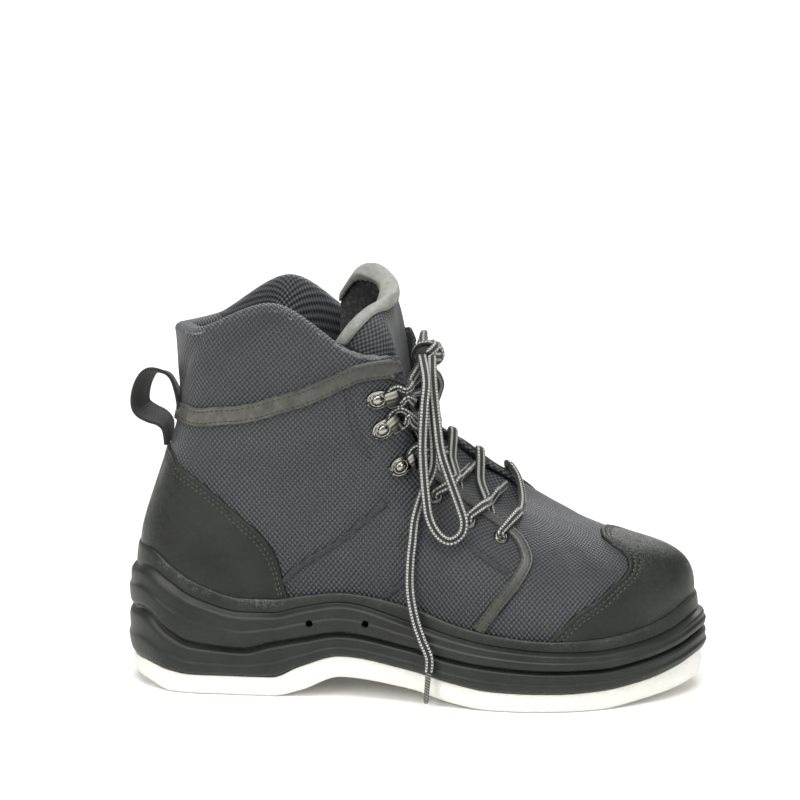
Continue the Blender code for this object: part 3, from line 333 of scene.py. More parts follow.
def read(rows, column, at):
    """Value of a column at a place between the rows."""
    xs = rows[next(iter(rows))]
    ys = rows[column]
    at = min(max(at, xs[0]), xs[-1])
    i = 0
    while i < len(xs) - 2 and at > xs[i + 1]:
        i += 1
    ms = slopes(rows, column)
    width = xs[i + 1] - xs[i]
    t = (at - xs[i]) / width
    start = (2 * t**3 - 3 * t**2 + 1) * ys[i] + (t**3 - 2 * t**2 + t) * width * ms[i]
    return start + (3 * t**2 - 2 * t**3) * ys[i + 1] + (t**3 - t**2) * width * ms[i + 1]


# The sole seen from above. along runs from the heel back to the toe tip, middle and half are shares of
# BALL_WIDTH: how far the middle of the sole lies towards the inner side, and half its width.
OUTLINE = table(
    "along middle half",
    (0.00, 0.000, 0.353),
    (0.14, 0.000, 0.353),
    (0.25, -0.010, 0.347),
    (0.38, -0.021, 0.332),
    (0.50, -0.021, 0.382),
    (0.63, -0.008, 0.471),
    (0.72, 0.013, 0.500),
    (0.82, 0.038, 0.487),
    (0.91, 0.063, 0.479),
    (1.00, 0.084, 0.471),
)
HEEL_ROUND = 0.142
HEEL_ROUND_POWER = 2.2
TOE_ROUND = 0.236
TOE_ROUND_POWER = 1.8

# Heights along the side of the sole, as shares of SOLE_HEIGHT: the felt's underside, the rubber's lower
# edge, the low and the high groove, the rubber's upper edge and the bed that the foot stands on.
SIDE = table(
    "along felt rubber low high top bed",
    (0.00, 0.08, 0.25, 0.70, 1.09, 1.31, 0.78),
    (0.03, 0.07, 0.25, 0.74, 1.15, 1.32, 0.77),
    (0.08, 0.00, 0.20, 0.56, 1.03, 1.18, 0.75),
    (0.12, 0.00, 0.18, 0.47, 0.91, 1.06, 0.74),
    (0.21, 0.00, 0.18, 0.43, 0.78, 0.91, 0.73),
    (0.26, 0.00, 0.18, 0.50, 0.78, 0.91, 0.74),
    (0.31, 0.06, 0.29, 0.55, 0.84, 0.95, 0.76),
    (0.38, 0.20, 0.40, 0.61, 0.90, 0.99, 0.78),
    (0.50, 0.14, 0.32, 0.53, 0.76, 0.90, 0.72),
    (0.58, 0.04, 0.23, 0.45, 0.66, 0.77, 0.61),
    (0.65, 0.00, 0.18, 0.41, 0.60, 0.70, 0.54),
    (0.76, 0.00, 0.17, 0.38, 0.55, 0.65, 0.50),
    (0.83, 0.00, 0.18, 0.38, 0.54, 0.655, 0.50),
    (0.91, 0.05, 0.23, 0.43, 0.58, 0.71, 0.54),
    (0.96, 0.08, 0.29, 0.49, 0.64, 0.79, 0.58),
    (1.00, 0.11, 0.35, 0.56, 0.72, 0.89, 0.62),
)

# The steps and ribs of the rubber side from bottom to top: the line that a row lies near, how far from
# that line to the next one (a share), and how far it stands out from the outline, in shares of LIP_THICKNESS.
STEPS = table(
    "row line share out",
    (0, "rubber", 0.00, -0.6),
    (1, "rubber", 0.10, 0.9),
    (2, "rubber", 0.40, 1.6),
    (3, "rubber", 0.52, 1.1),
    (4, "rubber", 0.88, 1.3),
    (5, "low", 0.00, -0.7),
    (6, "low", 0.12, 1.0),
    (7, "low", 0.48, 1.3),
    (8, "low", 0.58, 0.7),
    (9, "low", 0.88, 0.7),
    (10, "high", 0.00, -1.4),
    (11, "high", 0.16, -0.9),
    (12, "high", 0.85, -1.4),
    (13, "high", 1.00, -1.9),
)
NEXT_LINE = {"rubber": "low", "low": "high", "high": "top"}


def end_round(along):
    """Share of the full width that is left near the two round ends of the sole."""
    share = 1.0
    if along < HEEL_ROUND:
        share *= (1 - (1 - along / HEEL_ROUND) ** HEEL_ROUND_POWER) ** (1 / HEEL_ROUND_POWER)
    if 1 - along < TOE_ROUND:
        share *= (1 - (1 - (1 - along) / TOE_ROUND) ** TOE_ROUND_POWER) ** (1 / TOE_ROUND_POWER)
    return share


def outline_at(around):
    """Point of the sole's outline. around runs 0 toe tip, 1 heel back by the outer side, 2 toe again."""
    side = LATERAL if around % 2 <= 1 else MEDIAL
    turn = around % 2 if around % 2 <= 1 else 2 - around % 2
    along = (1 + math.cos(math.pi * turn)) / 2
    half = read(OUTLINE, "half", along) * BALL_WIDTH
    heel_share = min(max((0.5 - along) / 0.25, 0), 1)
    half *= 1 + heel_share * (HEEL_WIDTH / (0.706 * BALL_WIDTH) - 1)
    middle = read(OUTLINE, "middle", along) * BALL_WIDTH
    return along, along * SOLE_LENGTH - HEEL_REACH, middle + side * half * end_round(along)


def outline(around, out=0.0):
    """Place along the sole, and the outline's point moved outwards by a distance."""
    step = 0.004
    along, x, y = outline_at(around)
    before = outline_at(around - step)
    after = outline_at(around + step)
    outwards = Vector((before[2] - after[2], after[1] - before[1], 0)).normalized()
    return along, Vector((x, y, 0)) + outwards * out, outwards


# Drain holes: places round the edge, share of the way up the middle tier, and how deep they are cut
DRAIN_HOLES = (0.547, 0.612)
DRAIN_HEIGHT = 0.5
DRAIN_DEPTH = 5.6 * LIP_THICKNESS


# Upper: the top edge from the throat's lower end (turn 0) by the throat's corner to the collar's back
# (turn 1). forward is in shares of SOLE_LENGTH, outer and inner (the two sides of the edge) in shares of
# COLLAR_WIDTH, and height in shares of COLLAR_HEIGHT. tilt is added to height on the inner side.
TOP = table(
    "turn forward outer inner height tilt",
    (0.00, 0.568, -0.02, -0.02, 0.470, 0.000),
    (0.10, 0.566, -0.14, 0.11, 0.464, 0.010),
    (0.20, 0.555, -0.235, 0.20, 0.452, 0.044),
    (0.30, 0.512, -0.265, 0.225, 0.470, 0.072),
    (0.40, 0.455, -0.275, 0.235, 0.534, 0.066),
    (0.50, 0.380, -0.330, 0.310, 0.655, 0.030),
    (0.60, 0.352, -0.420, 0.400, 0.872, 0.010),
    (0.65, 0.308, -0.465, 0.450, 0.870, 0.005),
    (0.70, 0.255, -0.490, 0.480, 0.895, 0.000),
    (0.80, 0.135, -0.500, 0.495, 0.990, 0.005),
    (0.90, 0.012, -0.390, 0.380, 0.920, -0.020),
    (1.00, -0.038, 0.000, 0.000, 0.905, 0.000),
)
# The way each section leaves the sole and meets the top edge: how high it rises (COLLAR_HEIGHT) and swells
# outwards (SOLE_LENGTH) on leaving, and how far ahead (SOLE_LENGTH), to the side (COLLAR_WIDTH) and below
# (COLLAR_HEIGHT) of the edge it comes from
SECTION = table(
    "turn rise swell lead spread drop",
    (0.00, 0.165, 0.006, 0.165, 0.00, 0.115),
    (0.10, 0.155, 0.008, 0.150, 0.07, 0.110),
    (0.20, 0.140, 0.010, 0.110, 0.16, 0.095),
    (0.30, 0.135, 0.012, 0.050, 0.19, 0.085),
    (0.40, 0.150, 0.014, 0.020, 0.15, 0.095),
    (0.50, 0.200, 0.014, 0.000, 0.06, 0.170),
    (0.60, 0.200, 0.010, -0.020, 0.02, 0.230),
    (0.70, 0.190, 0.006, -0.045, -0.07, 0.250),
    (0.80, 0.170, 0.004, -0.035, -0.14, 0.280),
    (0.90, 0.120, -0.002, 0.010, -0.12, 0.250),
    (1.00, 0.100, -0.001, 0.025, 0.00, 0.220),
)
# Where the ankle strip crosses each section, as a share of the way up it
ANKLE_STRIP = table(
    "turn height",
    (0.58, 0.955),
    (0.62, 0.955),
    (0.65, 0.940),
    (0.70, 0.850),
    (0.75, 0.735),
    (0.80, 0.665),
    (0.86, 0.665),
    (0.94, 0.690),
    (1.00, 0.670),
)


def split(around):
    """The side of the boot, and the way from the toe tip (0) to the heel back (1) along it."""
    around = around % 2
    if around <= 1:
        return LATERAL, around
    return MEDIAL, 2 - around


def section(around):
    """The four control points of the upper's section that starts at a place round the sole's edge."""
    side, turn = split(around)
    along, foot, out = outline(around, -FEATHER_INSET)
    start = Vector((foot.x, foot.y, read(SIDE, "top", along) * SOLE_HEIGHT))
    column = "outer" if side == LATERAL else "inner"
    height = read(TOP, "height", turn)
    if side == MEDIAL:
        height += read(TOP, "tilt", turn)
    end = Vector((
        read(TOP, "forward", turn) * SOLE_LENGTH,
        read(TOP, column, turn) * COLLAR_WIDTH,
        height * COLLAR_HEIGHT,
    ))
    leave = start + out * (read(SECTION, "swell", turn) * SOLE_LENGTH)
    leave.z += read(SECTION, "rise", turn) * COLLAR_HEIGHT
    meet = end + Vector((
        read(SECTION, "lead", turn) * SOLE_LENGTH,
        side * read(SECTION, "spread", turn) * COLLAR_WIDTH,
        -read(SECTION, "drop", turn) * COLLAR_HEIGHT,
    ))
    return start, leave, meet, end


SECTIONS = {}


def base(around, up):
    """Point of the upper's plain outside. up is 0 at the rubber's lip and 1 at the top edge; below the
    lip the wall drops straight to the bed, which it reaches at -1."""
    key = round(around % 2, 5)
    if key not in SECTIONS:
        SECTIONS[key] = section(around)
    start, leave, meet, end = SECTIONS[key]
    if up < 0:
        along = (1 + math.cos(math.pi * split(around)[1])) / 2
        bed = read(SIDE, "bed", along) * SOLE_HEIGHT + GAP
        return Vector((start.x, start.y, start.z + (bed - start.z) * -up))
    a, b = 1 - up, up
    return a**3 * start + 3 * a * a * b * leave + 3 * a * b * b * meet + b**3 * end


def outward(around, up):
    """Direction that points out of the upper's surface."""
    step = 0.004
    low = max(up - step, 0.0)
    high = min(up + step, 1.0)
    if up < 0:
        return outline(around)[2]
    run = base(around + step, up) - base(around - step, up)
    rise = base(around, high) - base(around, low)
    return run.cross(rise).normalized() * -1


def puff(around, up):
    """How full the padded collar is here: 0 below the ankle strip and 1 over it."""
    turn = split(around)[1]
    if turn < ANKLE_STRIP["turn"][0]:
        return 0.0
    strip = read(ANKLE_STRIP, "height", turn)
    side_share = smooth_step((turn - 0.62) / 0.12)
    return side_share * smooth_step((up - strip) / 0.22)


def skin(around, up, lift=0.0):
    """Point at a distance from the upper's real outside, the collar's padding included."""
    return base(around, up) + outward(around, up) * (lift + puff(around, up) * COLLAR_PUFF)


def lining(around, up):
    """Point of the upper's inside."""
    return base(around, up) - outward(around, up) * (WALL + puff(around, up) * COLLAR_PAD)


# Eyelets and hooks from the toe upwards: place round the edge on the outer side and share of the way up
EYELETS = table(
    "number turn up",
    (1, 0.332, 0.755),
    (2, 0.400, 0.74),
    (3, 0.456, 0.79),
)
# Hooks also hold the place on the throat's edge that they point at, where their lace passes over it, and
# how far their plate stands off the upper, in metres
HOOKS = table(
    "number turn up aim rim lift",
    (1, 0.524, 0.795, 0.482, 0.480, 0.0012),
    (2, 0.577, 0.765, 0.535, 0.515, 0.0005),
    (3, 0.606, 0.850, 0.550, 0.547, 0.0003),
)


def eyelet_places():
    places = []
    for turn, up in zip(EYELETS["turn"], EYELETS["up"]):
        places.append((turn, up))
        places.append((2 - turn, up))
    return places


# Upper edges of the toe cap and of the heel counter: the share of the way up at places round the edge
TOE_CAP = table(
    "turn height",
    (0.00, 0.72),
    (0.06, 0.70),
    (0.10, 0.63),
    (0.13, 0.51),
    (0.17, 0.42),
    (0.213, 0.36),
    (0.256, 0.265),
    (0.294, 0.175),
    (0.338, 0.00),
    (0.36, -0.10),
)
COUNTER = table(
    "turn height",
    (0.62, -0.15),
    (0.638, 0.00),
    (0.656, 0.16),
    (0.675, 0.24),
    (0.706, 0.31),
    (0.75, 0.355),
    (0.80, 0.39),
    (0.85, 0.43),
    (0.938, 0.52),
    (1.00, 0.53),
)


def smooth_path(points, spacing):
    """Places along a smooth curve through points, a given distance apart."""
    fine = curve([Vector(point) for point in points], 12)
    lengths = [0.0]
    for a, b in zip(fine, fine[1:]):
        lengths.append(lengths[-1] + (b - a).length)
    count = max(2, round(lengths[-1] / spacing))
    result = []
    k = 0
    for step in range(count + 1):
        target = lengths[-1] * step / count
        while k < len(fine) - 2 and lengths[k + 1] < target:
            k += 1
        share = (target - lengths[k]) / (lengths[k + 1] - lengths[k])
        result.append(fine[k].lerp(fine[k + 1], min(max(share, 0.0), 1.0)))
    return result


# The binding along the quarter's edge on each side: from the top of the throat down to its lower corner,
# and down the quarter's front edge to the sole
QUARTER_EDGE = table(
    "order turn up",
    (0, 0.470, 0.950),
    (1, 0.420, 0.950),
    (2, 0.365, 0.945),
    (3, 0.315, 0.925),
    (4, 0.285, 0.820),
    (5, 0.305, 0.640),
    (6, 0.350, 0.430),
    (7, 0.394, 0.200),
    (8, 0.422, 0.006),
)


# Tongue

# The nine columns of the tongue from its outer to its inner wing, where it lies under the upper: place
# round the edge and share of the way up
TONGUE_TIP = (
    (0.2083, 0.80), (0.2083, 0.87), (0.1667, 0.91), (0.0833, 0.93), (0.0000, 0.935), (-0.0833, 0.93),
    (-0.1667, 0.91), (-0.2083, 0.87), (-0.2083, 0.80),
)
TONGUE_WING = (0.86, 0.93, 1.0)
TONGUE_INNER_WING = (0.80, 0.88, 0.95)
TONGUE_CLEARANCE = 0.0012
TONGUE_TIP_DROP = 0.0018
TONGUE_CROWN = -0.002
TONGUE_FIRST = 6
TONGUE_LAST = 14
# The free top of the same columns: forward, across and up, as shares of SOLE_LENGTH, COLLAR_WIDTH and
# TONGUE_HEIGHT
TONGUE_TOP = (
    (0.247, -0.295, 0.850), (0.273, -0.290, 0.897), (0.298, -0.240, 0.925), (0.322, -0.145, 0.943),
    (0.336, -0.015, 0.957), (0.326, 0.110, 0.977), (0.298, 0.215, 0.996), (0.264, 0.290, 0.985),
    (0.236, 0.350, 0.925),
)
TONGUE_FLAP_STEPS = 5
BINDING_LIFT = 3 * GAP


# The tongue's far edge stands free: the way up of its two last columns, in metres
TONGUE_FAR = {
    7: ((0.1010, 0.0325, 0.1830), (0.0925, 0.0325, 0.1930),
        (0.0860, 0.0310, 0.2060), (0.0835, 0.0285, 0.2190)),
    8: ((0.0950, 0.0330, 0.1690), (0.0830, 0.0335, 0.1770),
        (0.0740, 0.0330, 0.1890), (0.0735, 0.0320, 0.2015)),
}


def under(around, up, more=0.0):
    """Point of the tongue's face where the upper covers it."""
    return base(around, up) - outward(around, up) * (WALL + TONGUE_CLEARANCE + more)


def crown_at(turn, across, surface):
    """The way out of the throat, square to the line across it."""
    along = surface(turn + 0.02, 1.0) - surface(turn - 0.02, 1.0)
    crown = along.cross(across).normalized()
    return -crown if crown.x < 0 else crown


def tongue_face():
    """The tongue's outer face: rows from its tip under the vamp to its free top."""
    rows = []
    for push in (0.0, 0.04):
        row = []
        for turn, up in TONGUE_TIP:
            row.append(under(turn, up + push * (1 - abs(turn) / 0.3), TONGUE_TIP_DROP))
        rows.append(row)
    for station in range(TONGUE_FIRST, TONGUE_LAST + 1):
        turn = station / ROUND_STEPS
        outer = [under(turn, up) for up in TONGUE_WING]
        inner = [under(2 - turn, up) for up in TONGUE_INNER_WING]
        across = inner[2] - outer[2]
        crown = crown_at(turn, across, under)
        middle = []
        for share in (0.25, 0.5, 0.75):
            middle.append(outer[2] + across * share + crown * TONGUE_CROWN * 4 * share * (1 - share))
        rows.append(outer + middle + inner[::-1])
    last, before = rows[-1], rows[-2]
    for step in range(1, TONGUE_FLAP_STEPS + 1):
        t = step / TONGUE_FLAP_STEPS
        row = []
        for column, (forward, across, height) in enumerate(TONGUE_TOP):
            end = Vector((forward * SOLE_LENGTH, across * COLLAR_WIDTH, height * TONGUE_HEIGHT))
            start = last[column]
            leave = (start - before[column]).normalized() * (end - start).length * 0.6
            if column in TONGUE_FAR and step < TONGUE_FLAP_STEPS:
                row.append(Vector(TONGUE_FAR[column][step - 1]))
            else:
                row.append((1 - t) ** 2 * start + 2 * t * (1 - t) * (start + leave) + t * t * end)
        rows.append(row)
    return rows


def grid_normals(rows, towards):
    """Directions square to a grid of points, turned to the side that towards points to."""
    normals = []
    for i, row in enumerate(rows):
        line = []
        for j in range(len(row)):
            along = rows[min(i + 1, len(rows) - 1)][j] - rows[max(i - 1, 0)][j]
            line.append(along.cross(run_at(row, j)).normalized())
        normals.append(line)
    if normals[len(rows) // 2][len(rows[0]) // 2].dot(towards) < 0:
        normals = [[-normal for normal in line] for line in normals]
    return normals


def frame_at(around, up, lift, rim):
    """A frame on the upper: x towards a place on the throat's edge, z out of the surface."""
    out = outward(around, up)
    inwards = base(rim, 1.0) - base(around, up)
    inwards = (inwards - out * inwards.dot(out)).normalized()
    side = out.cross(inwards).normalized()
    turn = Matrix((inwards, side, out)).transposed().to_4x4()
    return Matrix.Translation(skin(around, up, lift)) @ turn


# The pull loop behind the ankle: its middle line, as shares of SOLE_LENGTH forward and COLLAR_HEIGHT up
LOOP = (
    (-0.0480, 0.742), (-0.060, 0.778), (-0.080, 0.790), (-0.095, 0.785), (-0.107, 0.755),
    (-0.112, 0.718), (-0.108, 0.695), (-0.092, 0.680), (-0.0765, 0.671), (-0.0655, 0.657),
    (-0.0620, 0.637), (-0.0625, 0.608),
)
LOOP_LEAN = math.radians(18)
# The strap's upper end, sewn down behind the ankle band
LOOP_TAIL = (-0.0128, 0, 0.1545)


def over_throat(turn, share, lift):
    """Point over the tongue, at a share of the way from the outer to the inner edge of the throat."""
    outer, inner = base(turn, 1.0), base(2 - turn, 1.0)
    across = inner - outer
    crown = crown_at(turn, across, base)
    hump = TONGUE_CROWN * 4 * max(share * (1 - share), 0.0)
    return outer + across * share + crown * (hump + lift)


def fastenings():
    """The eyelet and hook rows from the toe upwards: where the lace crosses the edge, the fastening's
    share of the way up, and whether it is a hook."""
    rows = [(turn, up, False) for turn, up in zip(EYELETS["turn"], EYELETS["up"])]
    return rows + [(rim, up, True) for rim, up in zip(HOOKS["rim"], HOOKS["up"])]


EYELET_LIFT = 0.0008
# How high a strand's middle lies over the plane of the throat's edges: on the rim, and down on the tongue
OVER_RIM = 3.3 * MM
BY_RIM = 1.6 * MM
ON_TONGUE = -2.2 * MM
# How far along the edge two strands at one hook pass each other
HOOK_SPREAD = 0.0072


# The bar over the throat: turn, share of the way from the outer to the inner edge, and its height
BAR_WAY = ((0.205, 0.00, 0.0036), (0.175, 0.25, 0.0024), (0.165, 0.50, 0.0020),
           (0.190, 0.78, 0.0026), (0.235, 0.98, 0.0034), (0.270, 1.10, 0.0028))


# The knot in front of the tongue, and the hanging bow: two loops and two ends. Their routes are chosen
# points in metres for a boot of these sizes; each starts and ends at the knot or at a tip.
KNOT_CENTRE = (0.1255, -0.006, 0.1880)
KNOT_SIZE = (0.0080, 0.0085, 0.0060)
TIE_OUTER = ((0.1180, -0.0230, 0.1760), (0.1226, -0.0121, 0.1838))
TIE_INNER = ((0.1180, 0.0150, 0.1760), (0.1230, 0.0005, 0.1842))
LOOP_OUTER = (
    (0.1236, -0.0156, 0.1885), (0.1272, -0.0295, 0.1775), (0.1268, -0.0360, 0.1640),
    (0.1262, -0.0387, 0.1404), (0.1288, -0.0440, 0.1136), (0.1314, -0.0455, 0.1024),
    (0.1368, -0.0470, 0.0950), (0.1426, -0.0478, 0.0930), (0.1480, -0.0473, 0.0968),
    (0.1495, -0.0465, 0.1031), (0.1472, -0.0448, 0.1110), (0.1408, -0.0410, 0.1271),
    (0.1360, -0.0380, 0.1409), (0.1333, -0.0325, 0.1564), (0.1303, -0.0245, 0.1766),
    (0.1290, -0.0160, 0.1885),
)
END_OUTER = (
    (0.1262, -0.0100, 0.1800), (0.1268, -0.0150, 0.1755), (0.1285, -0.0215, 0.1680),
    (0.1300, -0.0275, 0.1560), (0.1318, -0.0332, 0.1420), (0.1314, -0.0345, 0.1300),
    (0.1265, -0.0378, 0.1180), (0.1225, -0.0420, 0.1040), (0.1213, -0.0448, 0.0920),
    (0.1203, -0.0468, 0.0801), (0.1203, -0.0490, 0.0653), (0.1233, -0.0530, 0.0508),
    (0.1273, -0.0560, 0.0398), (0.1317, -0.0582, 0.0298), (0.1315, -0.0585, 0.0215),
)
AGLET_OUTER = ((0.1315, -0.0585, 0.0212), (0.1302, -0.0583, 0.0040))
LOOP_INNER = (
    (0.1225, 0.0030, 0.1900), (0.1210, 0.0150, 0.1920), (0.1205, 0.0270, 0.1920),
    (0.1185, 0.0375, 0.1860), (0.1140, 0.0460, 0.1740), (0.1105, 0.0520, 0.1580),
    (0.1085, 0.0560, 0.1400), (0.1085, 0.0580, 0.1220), (0.1120, 0.0590, 0.1080),
    (0.1175, 0.0590, 0.1020), (0.1235, 0.0590, 0.1060), (0.1250, 0.0580, 0.1160),
    (0.1220, 0.0560, 0.1320), (0.1190, 0.0545, 0.1480), (0.1185, 0.0510, 0.1620),
    (0.1205, 0.0450, 0.1740), (0.1258, 0.0310, 0.1845), (0.1268, 0.0180, 0.1860),
    (0.1285, 0.0030, 0.1868),
)
END_INNER = (
    (0.1275, -0.0025, 0.1800), (0.1282, 0.0040, 0.1762), (0.1290, 0.0120, 0.1730),
    (0.1298, 0.0235, 0.1650), (0.1275, 0.0330, 0.1570), (0.1240, 0.0420, 0.1470),
    (0.1220, 0.0480, 0.1330), (0.1185, 0.0510, 0.1200), (0.1175, 0.0520, 0.1000),
    (0.1190, 0.0530, 0.0830), (0.1210, 0.0545, 0.0650), (0.1230, 0.0560, 0.0500),
    (0.1245, 0.0572, 0.0360), (0.1265, 0.0575, 0.0215),
)
AGLET_INNER = ((0.1265, 0.0575, 0.0212), (0.1263, 0.0573, 0.0040))


# Sole

SOLE_STATIONS = 180
RING_SPLIT = 5
# Rows of the rubber's lower edge that are ragged
RAGGED_ROWS = 5
# How scuffed the lip is at the heel and along the rest, where the heel ends, and how far the wear reaches
HEEL_WEAR = 1.0
SIDE_WEAR = 0.35
HEEL_WEAR_END = 0.28
WEAR_REACH = 0.0028
DRAIN_RADIUS = 0.0020


def felt_noise(point, size, seed):
    return noise.noise(Vector((point.x / size, point.y / size, point.z / size + seed)))


def lid(name, out, height, across=10):
    """A sheet over the whole outline, from the outer to the inner side, in line with the ring's stations."""
    columns = []
    for k in range(SOLE_STATIONS + 1):
        along, outer, _ = outline(k / SOLE_STATIONS, out)
        _, inner, _ = outline(2 - k / SOLE_STATIONS, out)
        outer.z = inner.z = height(along)
        columns.append([outer.lerp(inner, j / across) for j in range(across + 1)])
    return lay_grid(name, columns)


def side_height(column, more=0.0):
    return lambda along: read(SIDE, column, along) * SOLE_HEIGHT + more


# The felt's side from bottom to top: share of the way up, and how far out it stands, in mm
FELT_SIDE = ((0.0, -1.4), (0.04, -0.7), (0.10, -0.2), (0.2, 0.1), (0.35, 0.3), (0.55, 0.4), (0.75, 0.3),
             (0.9, 0.1), (1.0, 0.0))


def make_felt():
    """The felt tread, softly rounded below, with an uneven fibrous side."""
    columns = []
    for k in range(2 * SOLE_STATIONS + 1):
        column = []
        for share, out in FELT_SIDE:
            along, point, outwards = outline(k / SOLE_STATIONS, out * MM)
            low = read(SIDE, "felt", along) * SOLE_HEIGHT
            high = read(SIDE, "rubber", along) * SOLE_HEIGHT
            point.z = low + (high - low) * share
            if 0 < share < 1:
                tufts = felt_noise(point, 0.004, 3) * 0.35 + felt_noise(point, 0.0016, 9) * 0.2
                point += outwards * tufts * MM
            column.append(point)
        columns.append(column)
    side = lay_grid("felt_side", columns)
    under_lid = lid("felt_under", FELT_SIDE[0][1] * MM, side_height("felt"))
    over_lid = lid("felt_over", 0.0, side_height("rubber"))
    piece = join("felt_tread", [side, under_lid, over_lid])
    edit(piece, MERGE, FACE_OUT)
    dress(piece, fibrous("white_felt"), "felt", "felt_outsole")


def sole_profile(around):
    """The rubber's side at one place: points from its lower edge up over the lip and down to the bed."""
    corners = []
    along, _, _ = outline(around)
    for line, share, out in zip(STEPS["line"], STEPS["share"], STEPS["out"]):
        low = read(SIDE, line, along)
        high = read(SIDE, NEXT_LINE[line], along)
        corners.append((out * LIP_THICKNESS, (low + (high - low) * share) * SOLE_HEIGHT))
    corners.append((-LIP_INSET, read(SIDE, "top", along) * SOLE_HEIGHT - 0.2 * MM))
    corners.append((-LIP_INSET, read(SIDE, "bed", along) * SOLE_HEIGHT))
    points = []
    for (out_a, up_a), (out_b, up_b) in zip(corners, corners[1:]):
        for k in range(RING_SPLIT):
            t = k / RING_SPLIT
            points.append(np.array((out_a + (out_b - out_a) * t, up_a + (up_b - up_a) * t)))
    points.append(np.array(corners[-1]))
    for _ in range(2):
        eased = [(a + 2 * b + c) / 4 for a, b, c in zip(points, points[1:], points[2:])]
        points = [points[0]] + eased + [points[-1]]
    return points


def make_rubber_cup():
    """The rubber cup with its tiers, grooves, worn lip and ragged lower edge."""
    columns = []
    for k in range(2 * SOLE_STATIONS + 1):
        around = k / SOLE_STATIONS
        column = []
        for j, (out, height) in enumerate(sole_profile(around)):
            _, point, _ = outline(around, out)
            point.z = height
            if 0 < j < RAGGED_ROWS:
                ragged = max(0.0, felt_noise(point, 0.0022, 5)) * 1.1 * MM
                point.z -= ragged * (1 - j / RAGGED_ROWS)
            column.append(point)
        columns.append(column)
    side = lay_grid("cup_side", columns)
    places = np.empty(len(side.data.vertices) * 3)
    side.data.vertices.foreach_get("co", places)
    mark(side, "wear", lip_wear(places.reshape(-1, 3), columns))
    bed = lid("cup_bed", -LIP_INSET, side_height("bed"))
    under_lid = lid("cup_under", STEPS["out"][0] * LIP_THICKNESS, side_height("rubber"))
    piece = join("rubber_cup", [side, bed, under_lid])
    edit(piece, MERGE, FACE_OUT)
    drill(piece, drain_rods())
    dress(piece, rubber(), "rubber", "cup_sole")


def lip_wear(points, columns):
    """How scuffed the rubber is: most along the lip, and more at the heel."""
    lip = (len(STEPS["row"]) - 2) * RING_SPLIT
    crest = np.array([tuple(column[lip]) for column in columns])
    values = np.zeros(len(points))
    for k in range(0, len(crest), 2):
        far = np.linalg.norm(points - crest[k], axis=1)
        share = (crest[k][0] + HEEL_REACH) / SOLE_LENGTH
        strength = HEEL_WEAR if share < HEEL_WEAR_END else SIDE_WEAR
        values = np.maximum(values, strength * np.exp(-(far / WEAR_REACH) ** 2))
    return values


def drill(piece, rods):
    for rod in rods:
        finish_with(piece, "BOOLEAN", operation="DIFFERENCE", object=rod, solver="EXACT")
        bpy.data.objects.remove(rod, do_unlink=True)


def rod_at(centre, axis, radius, depth):
    rod = primitive("cylinder", vertices=28, radius=radius, depth=depth)
    turn = Vector((0, 0, 1)).rotation_difference(axis).to_matrix().to_4x4()
    rod.data.transform(Matrix.Translation(centre) @ turn)
    return rod


def drain_rods():
    rods = []
    for place in DRAIN_HOLES:
        for around in (place, 2 - place):
            along, point, out = outline(around)
            low = read(SIDE, "low", along)
            high = read(SIDE, "high", along)
            point.z = (low + (high - low) * DRAIN_HEIGHT) * SOLE_HEIGHT
            rods.append(rod_at(point, out, DRAIN_RADIUS, DRAIN_DEPTH))
    return rods


# Upper

UPPER_STATIONS = 190
OUTER_ROWS = [-1.0, -0.5, -0.03] + [j / 110 for j in range(111)]
RIM_ROWS = 5
INNER_ROWS = [1 - j / 26 for j in range(27)] + [-0.03, -0.5, -1.0]

# Sewn lines of the upper, as places (turn, up) on the outer side; the inner side has them too. Each has its
# half width in metres, and how much its thread and the painted shade under the panel's edge darken the cloth.
UPPER_LINES = (
    (((0.652, 0.05), (0.644, 0.10), (0.619, 0.17), (0.588, 0.24), (0.562, 0.37), (0.544, 0.49)), 0.0008, 1.0),
    (((0.531, -0.02), (0.513, 0.09), (0.500, 0.24), (0.500, 0.33)), 0.0008, 0.8),
    (((0.413, 0.55), (0.395, 0.52), (0.378, 0.48), (0.363, 0.46)), 0.0012, 0.8),
)
# Soft creases and swellings: a line, half width, and height above (or, with a minus, below) the form
CREASES = (
    (((0.545, 0.49), (0.520, 0.55), (0.495, 0.62), (0.475, 0.72)), 0.0045, -0.0011),
    (((0.500, 0.33), (0.485, 0.45), (0.465, 0.58)), 0.0060, -0.0012),
    (((0.455, 0.25), (0.440, 0.42), (0.430, 0.58)), 0.0065, 0.0010),
    (((0.605, 0.30), (0.570, 0.45), (0.560, 0.60)), 0.0080, 0.0010),
    (((0.700, 0.45), (0.660, 0.55), (0.625, 0.66)), 0.0070, -0.0010),
    (((0.800, 0.52), (0.740, 0.60), (0.690, 0.70)), 0.0080, 0.0010),
    (((0.250, 0.30), (0.235, 0.50), (0.200, 0.68)), 0.0060, -0.0008),
    (((0.860, 0.86), (0.820, 0.90), (0.780, 0.97)), 0.0060, -0.0016),
    (((0.960, 0.82), (0.930, 0.90), (0.900, 0.985)), 0.0050, -0.0022),
    (((0.760, 0.80), (0.720, 0.90), (0.690, 0.97)), 0.0080, 0.0010),
)


def line_distance(points, line):
    """Distance of each point from a line on the upper, on the outer or the inner side."""
    way = smooth_path([(turn, up, 0) for turn, up in line], 0.01)
    best = np.full(len(points), 1.0)
    for mirror in (False, True):
        chain = np.array([tuple(skin(across_from(p.x, mirror), p.y)) for p in way])
        for a, b in zip(chain, chain[1:]):
            run = b - a
            t = np.clip((points - a) @ run / max(run @ run, 1e-12), 0, 1)
            best = np.minimum(best, np.linalg.norm(points - (a + t[:, None] * run), axis=1))
    return best


